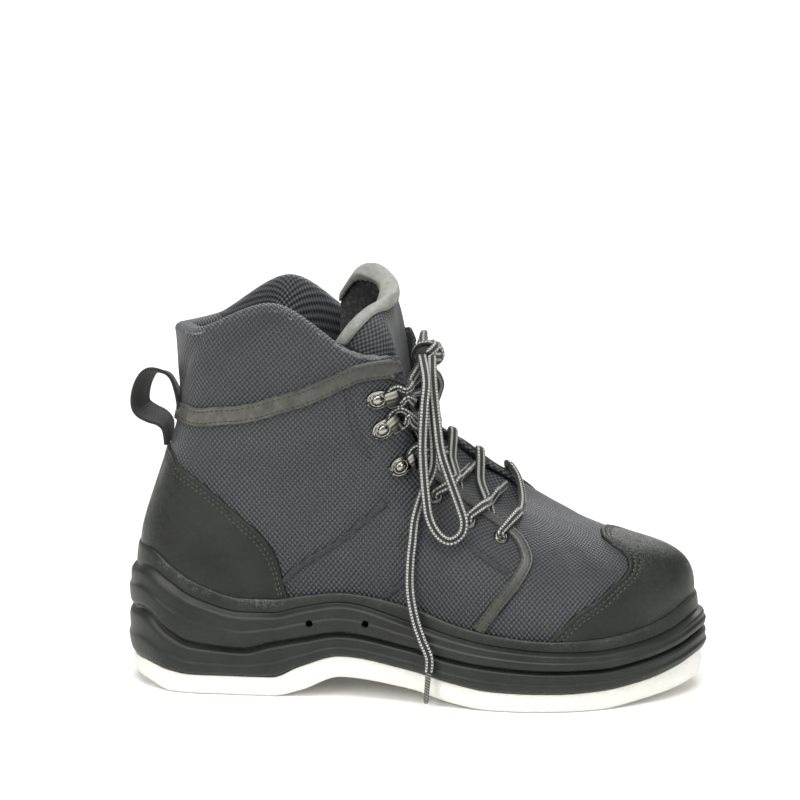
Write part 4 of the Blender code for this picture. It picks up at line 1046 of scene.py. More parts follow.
def make_upper():
    """The cloth of the upper: outside, padded rim and lining in one wall, with its seams and creases."""
    turns = [k / UPPER_STATIONS for k in range(2 * UPPER_STATIONS + 1)]
    columns, normals = [], []
    for around in turns:
        column = [skin(around, up) for up in OUTER_ROWS]
        out = [outward(around, up) for up in OUTER_ROWS]
        rim = (base(around, 1.0) - base(around, 0.97)).normalized()
        start, end = skin(around, 1.0), lining(around, 1.0)
        middle, half = (start + end) / 2, (start - end) / 2
        for k in range(1, RIM_ROWS):
            angle = math.pi * k / RIM_ROWS
            column.append(middle + half * math.cos(angle) + rim * half.length * 0.6 * math.sin(angle))
            out.append(rim)
        column += [lining(around, up) for up in INNER_ROWS]
        out += [-outward(around, up) for up in INNER_ROWS]
        column.append(column[0])
        out.append(out[0])
        columns.append(column)
        normals.append(out)
    points = np.array([[tuple(p) for p in column] for column in columns])
    out = np.array([[tuple(p) for p in column] for column in normals])
    shape = points.shape
    outside = len(OUTER_ROWS)
    flat = points[:, :outside].reshape(-1, 3)
    move = np.zeros(len(flat))
    seam = np.zeros(len(flat))
    for line, width, dark in UPPER_LINES:
        seam = np.maximum(seam, np.exp(-(line_distance(flat, line) / width) ** 2) * dark)
    for line, width, height in CREASES:
        move += np.exp(-(line_distance(flat, line) / width) ** 2) * height
    for k, point in enumerate(flat):
        place = Vector(point)
        move[k] += 0.35 * MM * noise.noise(place / 0.022) + 0.25 * MM * noise.noise(place / 0.011)
    moved = move[:, None] * out[:, :outside].reshape(-1, 3)
    points[:, :outside] += moved.reshape(shape[0], outside, 3)
    # The seam's shade fades out over the rim, where the lining has none
    shade = np.zeros(shape[:2])
    shade[:, :outside] = seam.reshape(shape[0], outside)
    points[-1] = points[0]
    piece = lay_grid("upper_cloth", points.tolist(), upper_uv(points))
    i, j = grid_index(shape)
    mark(piece, "seam", shade[i, j])
    lined = np.zeros(shape[:2])
    for j in range(outside + RIM_ROWS, shape[1] - 1):
        lined[:, j] = 0.25 + 0.75 * smooth_step((j - outside - RIM_ROWS) / 4)
    mark(piece, "lined", lined[i, j])
    edit(piece, MERGE, FACE_OUT)
    drill(piece, [rod_at(skin(around, up), outward(around, up), EYELET_HOLE_RADIUS, 8 * WALL)
                  for around, up in eyelet_places()])
    dress(piece, upper_cloth(), "upper_fabric", "upper")


def grid_index(shape):
    """Column and row of each point of a fresh grid with this many columns and rows, by its own order."""
    columns, rows = shape[:2]
    order = np.arange(columns * rows)
    return order % columns, order // columns


def upper_uv(points):
    """The cloth's threads: level round each side of the boot, and upright along its sections."""
    columns, rows = points.shape[:2]
    half = (columns - 1) // 2
    steps = np.linalg.norm(np.diff(points[:, :, :2], axis=0), axis=2)
    across = np.zeros((columns, rows))
    across[1:] = np.cumsum(steps, axis=0)
    outer, inner = half // 2, half + half // 2
    across[:half + 1] -= across[outer].copy()
    across[half + 1:] = -(across[half + 1:] - across[inner].copy())
    along = np.zeros((columns, rows))
    along[:, 1:] = np.cumsum(np.linalg.norm(np.diff(points, axis=1), axis=2), axis=1)
    first = OUTER_ROWS.index(0.0)
    along += points[:, first, 2][:, None] - along[:, first][:, None]
    return np.stack([across, along], axis=2)


# The collar's raw edge runs between these places round the boot
COLLAR_EDGE = (0.615, 1.385)


def make_collar_edge():
    """The soft raw edge of the collar, from one corner of the throat round to the other."""
    first, last = COLLAR_EDGE
    turns = [first + (last - first) * k / 420 for k in range(421)]
    columns = []
    for around in turns:
        start, end = skin(around, 1.0), lining(around, 1.0)
        rim = (base(around, 1.0) - base(around, 0.97)).normalized()
        middle = start.lerp(end, 0.22) + rim * 0.5 * MM
        outwards = (start - end).normalized()
        fade = smooth_step((around - first) / 0.02) * smooth_step((last - around) / 0.02)
        size = 1.4 * MM * (0.35 + 0.65 * fade)
        column = []
        for k in range(13):
            angle = 2 * math.pi * k / 12
            point = middle + outwards * size * math.cos(angle) + rim * size * 0.9 * math.sin(angle)
            rough = 0.8 * felt_noise(point, 0.0030, 2) + 0.6 * felt_noise(point, 0.0013, 7)
            column.append(point + (outwards * math.cos(angle) + rim * math.sin(angle)) * rough * MM)
        column[12] = column[0]
        columns.append(column)
    piece = lay_grid("collar_edge", columns)
    edit(piece, MERGE, FACE_OUT)
    close_ends(piece)
    dress(piece, fibrous("frayed_edge"), "upper_fabric")


def close_ends(piece):
    edit(piece, (bpy.ops.mesh.fill_holes, {"sides": 200}), FACE_OUT)


def make_insole():
    inset = FEATHER_INSET + WALL + GAP
    profile = ((0.0, 0.0), (0.5, 0.0), (0.8, 0.1), (0.95, 0.25), (1.0, 0.5))
    columns = []
    for k in range(2 * SOLE_STATIONS + 1):
        column = []
        for share, more in profile:
            along, point, _ = outline(k / SOLE_STATIONS, -inset - more * INSOLE_THICKNESS)
            point.z = read(SIDE, "bed", along) * SOLE_HEIGHT + GAP + INSOLE_THICKNESS * share
            column.append(point)
        columns.append(column)
    side = lay_grid("insole_side", columns)
    low = lid("insole_low", -inset, side_height("bed", GAP))
    top = lid("insole_top", -inset - 0.5 * INSOLE_THICKNESS, side_height("bed", GAP + INSOLE_THICKNESS))
    piece = join("insole_pad", [side, low, top])
    edit(piece, MERGE, FACE_OUT)
    dress(piece, fibrous("insole_cloth"), "insole_foam", "insole")


# Leather covers

# Distances from a cover's edge at which it has a row, in metres; the rest of it has evenly spaced ones
COVER_TOP = [0.0, 0.0001, 0.0003, 0.0006] + [0.0010 + 0.0004 * k for k in range(12)]
COVER_TOP += [0.0060, 0.0070, 0.0085]
STITCH_LINES = (0.0030, 0.0052)
COVER_REST = 30
# How far under the lip a cover reaches, as a share of the way up
COVER_FOOT = -0.03


def cover_slope(rows, around):
    """Metres down a section for each metre square to the cover's edge, and metres for each share of up."""
    turn = split(around)[1]
    height = read(rows, "height", turn)
    step = 0.004
    rise = (base(around, min(height + step, 1)) - base(around, max(height - step, 0))).length / (2 * step)
    run = (base(around + step, height) - base(around - step, height)).length / (2 * step)
    lean = (read(rows, "height", turn + step) - read(rows, "height", turn - step)) / (2 * step)
    return math.sqrt(1 + (lean * rise / run) ** 2), rise


def cover_lift(depth):
    """How far the leather stands off the cloth at a distance from its edge."""
    roll = min(depth / 0.0009, 1.0)
    lift = LEATHER * math.sqrt(max(1 - (1 - roll) ** 2, 0.0))
    lift += 0.35 * MM * math.exp(-((depth - 0.0013) / 0.0007) ** 2)
    for line in STITCH_LINES:
        lift -= 0.35 * MM * math.exp(-((depth - line) / 0.00045) ** 2)
    return lift


def cover_point(around, up, lift, tuck):
    """Point of the leather's face. Below the lip it drops straight by a share of the way."""
    return skin(around, max(up, 0.0), lift) + Vector((0, 0, min(up, 0.0) * tuck))


def make_cover(name, rows, first, last, count, slot_name, node):
    """A leather cover from the rubber's lip up, rolled at its edge and pressed along its seams."""
    columns = []
    for k in range(count + 1):
        around = first + (last - first) * k / count
        height = max(read(rows, "height", split(around)[1]), -0.02)
        slope, rise = cover_slope(rows, around)
        column = []
        for depth in COVER_TOP:
            up = max(height - depth * slope / rise, COVER_FOOT)
            column.append(cover_point(around, up, cover_lift(depth), 0.05))
        start = height - COVER_TOP[-1] * slope / rise
        for j in range(1, COVER_REST + 1):
            up = max(min(start + (COVER_FOOT - start) * j / COVER_REST, start), COVER_FOOT)
            column.append(cover_point(around, up, LEATHER, 0.08))
        columns.append(column)
    piece = lay_grid(name, columns, out=outward((first + last) / 2, 0.2))
    finish_with(piece, "SOLIDIFY", thickness=LEATHER * 0.8, offset=-1)
    edit(piece, MERGE)
    dress(piece, leather(), slot_name, node)
    seams = []
    for line in STITCH_LINES:
        path = []
        for k in range(4 * count):
            around = first + (last - first) * k / (4 * count)
            slope, rise = cover_slope(rows, around)
            up = read(rows, "height", split(around)[1]) - line * slope / rise
            if up > 0.004:
                path.append((skin(around, up, cover_lift(line)), outward(around, up)))
        seams.append(path)
    sew(name + "_stitches", seams, "leather_thread", LEATHER_STITCH)


# Stitches: pitch, length and radius
LEATHER_STITCH = (0.0030, 0.0020, 0.00052)
TAPE_STITCH = (0.0030, 0.0020, 0.00034)
TONGUE_STITCH = (0.0030, 0.0020, 0.00032)
STAY_STITCH = (0.0026, 0.0017, 0.00034)
SEAM_STITCH = (0.0026, 0.0017, 0.00032)


def sew(name, paths, thread, stitch):
    """Rows of stitches along paths of points and outward directions."""
    pitch, length, radius = stitch
    unit = primitive("uv_sphere", segments=6, ring_count=4, radius=1)
    unit.data.transform(Matrix.Diagonal((radius, radius * 0.8, length / 2, 1)))
    places = []
    for path in paths:
        travelled = 0.0
        goal = pitch / 2
        for (a, out), (b, _) in zip(path, path[1:]):
            step = (b - a).length
            if step > 0.01:
                travelled, goal = 0.0, pitch / 2
                continue
            while travelled + step >= goal and step > 0:
                point = a.lerp(b, (goal - travelled) / step)
                run = (b - a).normalized()
                side = out.cross(run).normalized()
                turn = Matrix((side, run.cross(side) * -1, run)).transposed().to_4x4()
                places.append(Matrix.Translation(point + out * radius * 0.35) @ turn)
                goal += pitch
            travelled += step
    dress(scatter(name, unit, places), fibrous(thread), "upper_fabric")


# Bindings


def across_shift(turn, up, run):
    """Change of turn and up for one metre square to a run on the upper."""
    across = outward(turn, up).cross(run).normalized()
    step = 0.01
    by_turn = (base(turn + step, up) - base(turn - step, up)) / (2 * step)
    by_up = (base(turn, up + step) - base(turn, up - step)) / (2 * step)
    columns = np.array([list(by_turn), list(by_up)]).T
    shift, _, _, _ = np.linalg.lstsq(columns, np.array(list(across)), rcond=None)
    return float(shift[0]), float(shift[1])


BAND_ROWS = 14
BAND_STITCHES = (-0.30, 0.30)
BAND_LIFT = 1.8 * GAP


def band(name, route, width_at, node, steps):
    """A sewn band along a route over the upper, with raised rims, and its stitches."""
    path = []
    for first in range(len(route["turn"]) - 1):
        for k in range(steps):
            path.append([read(route, column, first + k / steps) for column in ("turn", "up")])
    path.append((route["turn"][-1], route["up"][-1]))
    middle_line = [base(*place) for place in path]
    columns, stitch_paths = [], [[] for _ in BAND_STITCHES]
    for k, (turn, up) in enumerate(path):
        shift = across_shift(turn, up, run_at(middle_line, k).normalized())
        width = width_at(k / (len(path) - 1))

        def spot(share):
            return turn + shift[0] * width * share, min(up + shift[1] * width * share, 0.999)

        def point(share):
            return skin(*spot(share), BAND_LIFT + band_lift(share, BINDING_THICKNESS))

        columns.append([point(j / BAND_ROWS - 0.5) for j in range(BAND_ROWS + 1)])
        for share, chain in zip(BAND_STITCHES, stitch_paths):
            chain.append((point(share), outward(*spot(share))))
    piece = lay_grid(name, columns, out=outward(*path[len(path) // 2]))
    finish_with(piece, "SOLIDIFY", thickness=BINDING_THICKNESS * 0.9, offset=-1)
    dress(piece, tape(), "binding", node)
    sew(name + "_stitches", stitch_paths, "dark_thread", TAPE_STITCH)


def band_lift(share, thickness):
    """Height of a band across its width: round edges, raised rims and pressed stitch lines."""
    edge = 1 - abs(share) * 2
    lift = thickness * math.sqrt(max(1 - (1 - min(edge / 0.18, 1.0)) ** 2, 0.0))
    return lift - 0.28 * MM * math.exp(-((abs(share) - 0.30) / 0.055) ** 2)


# The width of the ankle's band, by the share of its length from the nearer end
ANKLE_WIDTH = table(
    "place width",
    (0.000, 0.0030),
    (0.006, 0.0075),
    (0.016, 0.0102),
    (0.050, 0.0115),
    (0.090, 0.0110),
    (0.150, 0.0105),
)
# The middle of the sewn band, as a share of the way up each section
ANKLE_LINE = table(
    "turn height",
    (0.588, 0.955),
    (0.620, 0.960),
    (0.650, 0.955),
    (0.680, 0.912),
    (0.700, 0.864),
    (0.720, 0.810),
    (0.750, 0.735),
    (0.780, 0.674),
    (0.800, 0.652),
    (0.830, 0.649),
    (0.860, 0.664),
    (0.940, 0.690),
    (1.000, 0.670),
)
# The places that the band is led through, from the throat's corner to the heel's back; it goes on in mirror
ANKLE_TURNS = [0.588, 0.61, 0.635, 0.66, 0.68, 0.70, 0.725, 0.75, 0.78, 0.81, 0.85, 0.92, 1.0]


def make_ankle_strip():
    turns = ANKLE_TURNS + [2 - turn for turn in ANKLE_TURNS[-2::-1]]
    route = {
        "order": list(range(len(turns))),
        "turn": turns,
        "up": [read(ANKLE_LINE, "height", split(turn)[1]) for turn in turns],
    }
    band("ankle_band", route, lambda at: read(ANKLE_WIDTH, "width", min(at, 1 - at)), "ankle_strip", 16)


def make_quarter_bindings():
    for side in ("outer", "inner"):
        route = dict(QUARTER_EDGE)
        route["turn"] = [across_from(turn, side == "inner") for turn in route["turn"]]
        band("quarter_band_" + side, route,
             lambda at: EDGE_BINDING_WIDTH * (1.0 + 0.22 * smooth_step((at - 0.45) / 0.2)),
             "quarter_binding_" + side, 20)


def make_seam_folds():
    """The overlapping edges of the cloth panels: a raised fold with a sharp lower side, sewn down."""
    chains = []
    for name, line, width, height in SEAM_FOLDS:
        for side, facing in (("outer", -width), ("inner", width)):
            way = smooth_path([(turn, up, 0) for turn, up in line], 0.004)
            spots = [(across_from(p.x, side == "inner"), p.y) for p in way]
            middle_line = [base(*spot) for spot in spots]
            columns, chain = [], []
            for k, (turn, up) in enumerate(spots):
                shift = across_shift(turn, up, run_at(middle_line, k).normalized())

                def beside(share):
                    return turn + shift[0] * facing * share, up + shift[1] * facing * share

                ends = smooth_step(min(k, len(way) - 1 - k) / 4)
                columns.append([skin(*beside(share), 0.0003 + (0.2 + lift * ends) * height)
                                for share, lift in FOLD_SIDE])
                seam = beside(FOLD_SEAM)
                chain.append((skin(*seam, height * 0.9), outward(*seam)))
            piece = lay_grid("%s_%s" % (name, side), columns, out=outward(*spots[len(spots) // 2]))
            finish_with(piece, "SOLIDIFY", thickness=0.0006, offset=-1)
            # The fold's cloth is painted darker than the panels: painted shade along the seam.
            dress(piece, fibrous("shaded_seam_cloth"), "upper_fabric")
            chains.append(dense(chain, 3))
    sew("seam_stitches", chains, "dark_thread", SEAM_STITCH)


# Where the panels overlap, with the fold's width and height; its profile runs from the sharp side
SEAM_FOLDS = (
    ("quarter_fold",
     ((0.650, 0.07), (0.644, 0.10), (0.619, 0.17), (0.588, 0.24), (0.562, 0.37), (0.546, 0.48)),
     0.0030, 0.0010),
    ("instep_fold",
     ((0.530, 0.02), (0.513, 0.09), (0.502, 0.17), (0.500, 0.24), (0.502, 0.30)), 0.0026, 0.0008),
    ("eyelet_fold", ((0.413, 0.55), (0.395, 0.52), (0.378, 0.48), (0.363, 0.46)), 0.0026, 0.0008),
)
FOLD_SIDE = ((-0.08, -0.6), (0.0, 0.1), (0.05, 0.75), (0.14, 1.0), (0.30, 0.95), (0.45, 0.8), (0.55, 0.62),
             (0.65, 0.72), (0.85, 0.4), (1.0, -0.3))
FOLD_SEAM = 0.55


def make_cloth_stitches():
    """The rows of dark thread that hold the stiffener behind the hooks."""
    rows = []
    for shift in (0.0, 0.009):
        for mirror in (False, True):
            way = smooth_path([(turn + shift, up, 0) for turn, up in HOOK_STAY], 0.01)
            places = [(across_from(p.x, mirror), p.y) for p in way]
            rows.append(dense([(skin(*place, 0.15 * MM), outward(*place)) for place in places]))
    sew("stay_stitches", rows, "dark_thread", STAY_STITCH)


HOOK_STAY = ((0.675, 0.91), (0.644, 0.78), (0.600, 0.63), (0.544, 0.56))


def dense(chain, parts=8):
    """A chain of points and directions with points put in between."""
    result = []
    for (a, out_a), (b, out_b) in zip(chain, chain[1:]):
        for k in range(parts):
            result.append((a.lerp(b, k / parts), out_a.lerp(out_b, k / parts)))
    return result + [chain[-1]]


# Tongue


def refine(rows, factor):
    """A grid of points made finer along smooth curves both ways."""
    longer = [curve(row, factor) for row in rows]
    return [list(column) for column in zip(*[curve(list(column), factor) for column in zip(*longer)])]


TONGUE_FINE = 6
TONGUE_BAND_FINE = 7
TONGUE_BAND_DEPTH = 0.00592


def make_tongue():
    """The padded tongue with its cloth face and fleece back, and the light band folded over its top."""
    face = tongue_face()
    out = grid_normals(face, Vector((1, 0, 1)))
    inner = []
    for row, normals in zip(face, out):
        line = []
        for column, (point, normal) in enumerate(zip(row, normals)):
            share = 0.45 if column in (0, 8) else 0.8 if column in (1, 7) else 1.0
            line.append(point - normal * TONGUE_THICKNESS * share)
        inner.append(line)
    front = lay_grid("tongue_front", refine(face, TONGUE_FINE), out=Vector((1, 0, 0.5)))
    back = lay_grid("tongue_back", refine(inner, TONGUE_FINE), out=Vector((-1, 0, -0.5)))
    front.data.materials.append(shaded_tongue_cloth())
    back.data.materials.append(fibrous("dark_fleece"))
    piece = join("tongue_pad", [front, back])
    bridge(piece)
    dress(piece, None, "tongue_fabric", "tongue")
    make_tongue_band(face, inner, out)


def bridge(piece):
    """Join the open borders of two sheets all round."""
    mesh = bpy.ops.mesh
    edit(piece, (mesh.select_mode, {"type": "EDGE"}), (mesh.select_all, {"action": "DESELECT"}),
         (mesh.select_non_manifold, {}), (mesh.bridge_edge_loops, {}),
         (mesh.select_all, {"action": "SELECT"}), FACE_OUT, (mesh.select_mode, {"type": "VERT"}))


def make_tongue_band(face, inner, out):
    columns = []
    last = len(face) - 1
    for column in range(9):
        step = face[last][column] - face[last - 1][column]
        share = TONGUE_BAND_DEPTH / step.length
        normal = out[last][column]
        tip_up = step.normalized()
        front, back = face[last][column], inner[last][column]
        front_low = front.lerp(face[last - 1][column], share)
        back_low = back.lerp(inner[last - 1][column], share * 0.8)
        lift = BINDING_LIFT + BINDING_THICKNESS
        columns.append([
            front_low + normal * lift * 0.5,
            front_low.lerp(front, 0.2) + normal * lift * 1.15,
            front_low.lerp(front, 0.6) + normal * lift * 1.35,
            front + normal * lift + tip_up * lift * 0.4,
            front.lerp(back, 0.3) + tip_up * lift,
            front.lerp(back, 0.7) + tip_up * lift,
            back - normal * lift + tip_up * lift * 0.4,
            back_low.lerp(back, 0.6) - normal * lift * 1.25,
            back_low.lerp(back, 0.2) - normal * lift * 1.1,
            back_low - normal * lift * 0.5,
        ])
    fine = refine(columns, TONGUE_BAND_FINE)
    piece = lay_grid("tongue_band", fine, out=Vector((1, 0, 0.3)))
    finish_with(piece, "SOLIDIFY", thickness=BINDING_THICKNESS * 0.8, offset=-1)
    dress(piece, light_tape(), "light_binding", "tongue_binding")
    chains = []
    for place, facing in ((TONGUE_BAND_FINE - 1, 1), (len(fine[0]) - TONGUE_BAND_FINE, -1)):
        chain = []
        edge = [column[place] for column in fine]
        for k, column in enumerate(fine):
            rise = column[place + 1] - column[place - 1]
            normal = rise.cross(run_at(edge, k)).normalized()
            if normal.dot(out[last][min(8, k // TONGUE_BAND_FINE)] * facing) < 0:
                normal.negate()
            chain.append((column[place] + normal * 0.1 * MM, normal))
        chains.append(dense(chain, 3))
    sew("tongue_stitches", chains, "light_thread", TONGUE_STITCH)


# Fittings


# An eyelet's section: distance out of its bore and height, over its crown and back under its flange
EYELET_INSIDE = ((0.0, -0.0024), (0.0, -0.0010), (0.0001, 0.0002), (0.0004, 0.0008), (0.0010, 0.00115),
                 (0.0016, 0.0010), (0.0021, 0.0005))
EYELET_UNDER = ((0.0006, -0.0004), (0.0005, -0.0024), (0.0, -0.0024))
EYELET_HIGHLIGHT = 0.55


def make_eyelets():
    """Rolled metal eyelets with their barrels in the cloth."""
    bore = EYELET_HOLE_RADIUS - 2 * GAP - 0.35 * MM
    profile = [(bore + more, height) for more, height in EYELET_INSIDE]
    profile += [(EYELET_RADIUS, 0.0), (EYELET_RADIUS, -0.0003), (EYELET_RADIUS - 0.0006, -0.0004)]
    profile += [(bore + more, height) for more, height in EYELET_UNDER]
    columns = []
    for k in range(41):
        angle = 2 * math.pi * k / 40
        columns.append([Vector((r * math.cos(angle), r * math.sin(angle), h)) for r, h in profile])
    for number, turn, up in zip(*EYELETS.values()):
        for side, around in (("outer", turn), ("inner", 2 - turn)):
            piece = lay_grid("eyelet_ring_%s_%d" % (side, number), columns)
            piece.data.transform(frame_at(around, up, EYELET_LIFT * 0.6, around))
            edit(piece, MERGE, FACE_OUT)
            set_painted_highlight(piece, EYELET_HIGHLIGHT)
            dress(piece, gunmetal(), "metal", "eyelet_%s_%d" % (side, number))


# Along a hook, in half lengths, with the height in mm, the half width in mm and how much painted highlight
# the metal has there (painted shade where it is low)
HOOK_LINE = ((-1.40, 0.5, 1.4, 0.9), (-1.34, 0.5, 2.5, 0.8), (-1.22, 0.5, 3.5, 0.5), (-1.02, 0.5, 4.4, 0.3),
             (-0.78, 0.5, 4.9, 0.3), (-0.50, 0.5, 4.9, 0.35), (-0.24, 0.5, 4.6, 0.4), (0.02, 0.5, 4.3, 0.5),
             (0.28, 0.55, 4.2, 0.35), (0.46, 0.8, 4.2, 0.15), (0.62, 1.5, 4.3, 0.9), (0.74, 2.6, 4.5, 0.75),
             (0.80, 3.8, 4.6, 0.5), (0.76, 5.0, 4.6, 0.7), (0.60, 6.0, 4.6, 1.0), (0.36, 6.5, 4.6, 0.8),
             (0.10, 6.5, 4.5, 0.6), (-0.10, 6.2, 3.9, 0.4))


# The rivet and the ring round it: place along the hook in half lengths, height, sizes and painted highlights
RIVET_ALONG = -0.62
RIVET_HEIGHT = 1.0 * MM
RIVET_SIZE = (0.0030, 0.0024, 0.0013)
RIVET_HIGHLIGHT = 0.85
RING_RADIUS = 0.0041
RING_THICKNESS = 0.0005
RING_SQUASH = 0.86
RING_HIGHLIGHT = 0.75


def make_hooks():
    """Bent sheet hooks, each held by one oval rivet."""
    reach = HOOK_LENGTH / 2
    columns = []
    for x, z, half, _ in HOOK_LINE:
        columns.append([Vector((x * reach, s * half * MM, z * MM - 0.00035 * (1 - s * s)))
                        for s in (-1.0, -0.85, -0.4, 0.0, 0.4, 0.85, 1.0)])
    painted_highlight = [tone for *_, tone in HOOK_LINE]
    highlight_levels = np.interp(np.linspace(0, len(painted_highlight) - 1, (len(painted_highlight) - 1) * 3 + 1), range(len(painted_highlight)), painted_highlight)
    at_rivet = Matrix.Translation((RIVET_ALONG * reach, 0, RIVET_HEIGHT))
    for number, turn, up, aim, _, lift in zip(*HOOKS.values()):
        for side, around, edge in (("outer", turn, aim), ("inner", 2 - turn, 2 - aim)):
            place = frame_at(around, up, lift, edge)
            plate = lay_grid("hook_plate", refine(columns, 3))
            mark(plate, "painted_highlight", np.repeat(highlight_levels, len(plate.data.vertices) // len(highlight_levels)))
            finish_with(plate, "SOLIDIFY", thickness=HOOK_SHEET, offset=0)
            finish_with(plate, "BEVEL", width=0.0002, segments=2, limit_method="ANGLE")
            rivet = primitive("uv_sphere", segments=28, ring_count=14, radius=1)
            rivet.data.transform(at_rivet @ Matrix.Diagonal((*RIVET_SIZE, 1)))
            set_painted_highlight(rivet, RIVET_HIGHLIGHT)
            collar = primitive("torus", major_segments=32, minor_segments=8, major_radius=RING_RADIUS,
                               minor_radius=RING_THICKNESS)
            collar.data.transform(at_rivet @ Matrix.Diagonal((1, RING_SQUASH, 1, 1)))
            set_painted_highlight(collar, RING_HIGHLIGHT)
            piece = join("lace_hook_%s_%d" % (side, number), [plate, rivet, collar])
            piece.data.transform(place)
            edit(piece, FACE_OUT)
            dress(piece, gunmetal(), "metal", "hook_%s_%d" % (side, number))


def make_pull_loop():
    points = [(forward * SOLE_LENGTH, 0, height * COLLAR_HEIGHT) for forward, height in LOOP]
    path = smooth_path([LOOP_TAIL] + points, 0.0012)
    columns = []
    for k, point in enumerate(path):
        run = run_at(path, k).normalized()
        normal = Vector((-run.z, 0, run.x))
        lean = LOOP_LEAN * math.sin(math.pi * k / (len(path) - 1))
        across = Vector((0, math.cos(lean), 0)) + normal * math.sin(lean)
        columns.append([point + across * (j / 16 - 0.5) * LOOP_WIDTH
                        + normal * (0.25 * MM * math.cos(math.pi * (j / 8 - 1))) for j in range(17)])
    piece = lay_grid("pull_strap", columns)
    finish_with(piece, "SOLIDIFY", thickness=LOOP_THICKNESS, offset=0)
    finish_with(piece, "BEVEL", width=0.0004, segments=2, limit_method="ANGLE")
    edit(piece, FACE_OUT)
    dress(piece, webbing(), "webbing", "pull_loop")


# Laces

LACE_WIDTH = 0.0055
LACE_THICKNESS = 0.0030
LACE_SIDES = 16
TIP_WIDTH = 0.0036
TIP_THICKNESS = 0.0028


def lace_frames(points, hints):
    """The direction across a flat lace at each point. Where a hint (the way the lace faces) is given it is
    followed, and elsewhere the lace is carried on without a twist."""
    across = []
    for k, hint in enumerate(hints):
        run = run_at(points, k).normalized()
        side = None
        if hint is not None:
            side = run.cross(hint)
            side = side.normalized() if side.length > 0.45 else None
        if side is None:
            side = across[-1] if across else run.orthogonal()
        elif across and side.dot(across[-1]) < 0:
            side = -side
        side = (side - run * side.dot(run)).normalized()
        across.append(side)
    for _ in range(6):
        eased = [(a + b * 2 + c).normalized() for a, b, c in zip(across, across[1:], across[2:])]
        across = [across[0]] + eased + [across[-1]]
    return across


def lace(name, stops, width=LACE_WIDTH, thickness=LACE_THICKNESS, spacing=0.0011):
    """A flat woven lace through stops of (point, way it faces or None, share of its width)."""
    points = smooth_path([stop[0] for stop in stops], spacing)
    knots = [0.0]
    for a, b in zip(stops, stops[1:]):
        knots.append(knots[-1] + (Vector(b[0]) - Vector(a[0])).length)
    travelled = [0.0]
    for a, b in zip(points, points[1:]):
        travelled.append(travelled[-1] + (b - a).length)
    scale = knots[-1] / travelled[-1]
    hints, sizes = [], []
    for distance in travelled:
        at = distance * scale
        k = 0
        while k < len(knots) - 2 and at > knots[k + 1]:
            k += 1
        t = min(max((at - knots[k]) / (knots[k + 1] - knots[k]), 0), 1)
        first, second = stops[k], stops[k + 1]
        if first[1] is None or second[1] is None:
            hints.append(first[1] if t < 0.5 else second[1])
        else:
            hints.append(Vector(first[1]).lerp(Vector(second[1]), t))
        sizes.append(first[2] + (second[2] - first[2]) * smooth_step(t))
    across = lace_frames(points, hints)
    columns, uv = [], []
    for k, point in enumerate(points):
        run = run_at(points, k).normalized()
        up = run.cross(across[k]).normalized()
        column, line = [], []
        for j in range(LACE_SIDES + 1):
            angle = 2 * math.pi * j / LACE_SIDES
            flat = math.copysign(abs(math.cos(angle)) ** 0.8, math.cos(angle))
            tall = math.copysign(abs(math.sin(angle)) ** 0.8, math.sin(angle))
            column.append(point + across[k] * flat * width / 2 * sizes[k] + up * tall * thickness / 2)
            line.append((travelled[k], flat))
        column[LACE_SIDES] = column[0]
        columns.append(column)
        uv.append(line)
    piece = lay_grid(name, columns, uv)
    edit(piece, MERGE)
    close_ends(piece)
    return piece, points, travelled[-1]


def out_of_throat(turn, share):
    """The way a strand faces over the tongue."""
    return over_throat(turn, share, 0.01) - over_throat(turn, share, 0.0)


# The lace's way round a hook: along it in half lengths, then aside and up in mm, and the share of its width
# that the hook leaves it
HOOK_WAY = ((1.45, -2.2, 2.6), (1.0, -4.6, 2.2), (0.42, -3.9, 2.4), (0.18, 0.0, 2.5), (0.42, 3.9, 2.4),
            (1.0, 4.6, 2.2), (1.45, 2.2, 2.6))
HOOKED_SHARE = 0.60
# The lace's way through an eyelet: out of the upper and towards its edge in mm, and the share of its width
EYELET_WAY = ((3.4, 1.6, 0.8), (1.6, 0.0, 0.72), (-1.6, 0.0, 0.72), (-4.6, 2.2, 0.8))


def hook_stops(number, inner):
    """The way of the lace round a hook, from the toe side to the heel side."""
    _, turn, up, aim, _, lift = [column[number - 1] for column in HOOKS.values()]
    place = frame_at(across_from(turn, inner), up, lift, across_from(aim, inner))
    side = -1 if inner else 1
    face = place.to_3x3() @ Vector((0, 0, 1))
    reach = HOOK_LENGTH / 2
    return [(place @ Vector((x * reach, y * side * MM, z * MM)), face, HOOKED_SHARE) for x, y, z in HOOK_WAY]


def eyelet_stops(number, inner):
    """The way of the lace through an eyelet, from the outside to the inside."""
    up = EYELETS["up"][number - 1]
    around = across_from(EYELETS["turn"][number - 1], inner)
    out = outward(around, up)
    centre = skin(around, up)
    edge = (base(around, min(up + 0.1, 1)) - base(around, up)).normalized()
    return [(centre + out * high * MM + edge * ahead * MM, None, share) for high, ahead, share in EYELET_WAY]


# How far ahead of its eyelets a strand leaves and arrives, by whether it goes to an upper row (one whose
# share of the way up is past the split) and whether it starts on the inner side
LEAN_SPLIT = 0.75
STRAND_LEANS = {
    (False, True): (0.078, 0.072),
    (False, False): (0.050, 0.030),
    (True, True): (0.045, 0.042),
    (True, False): (0.022, 0.018),
}


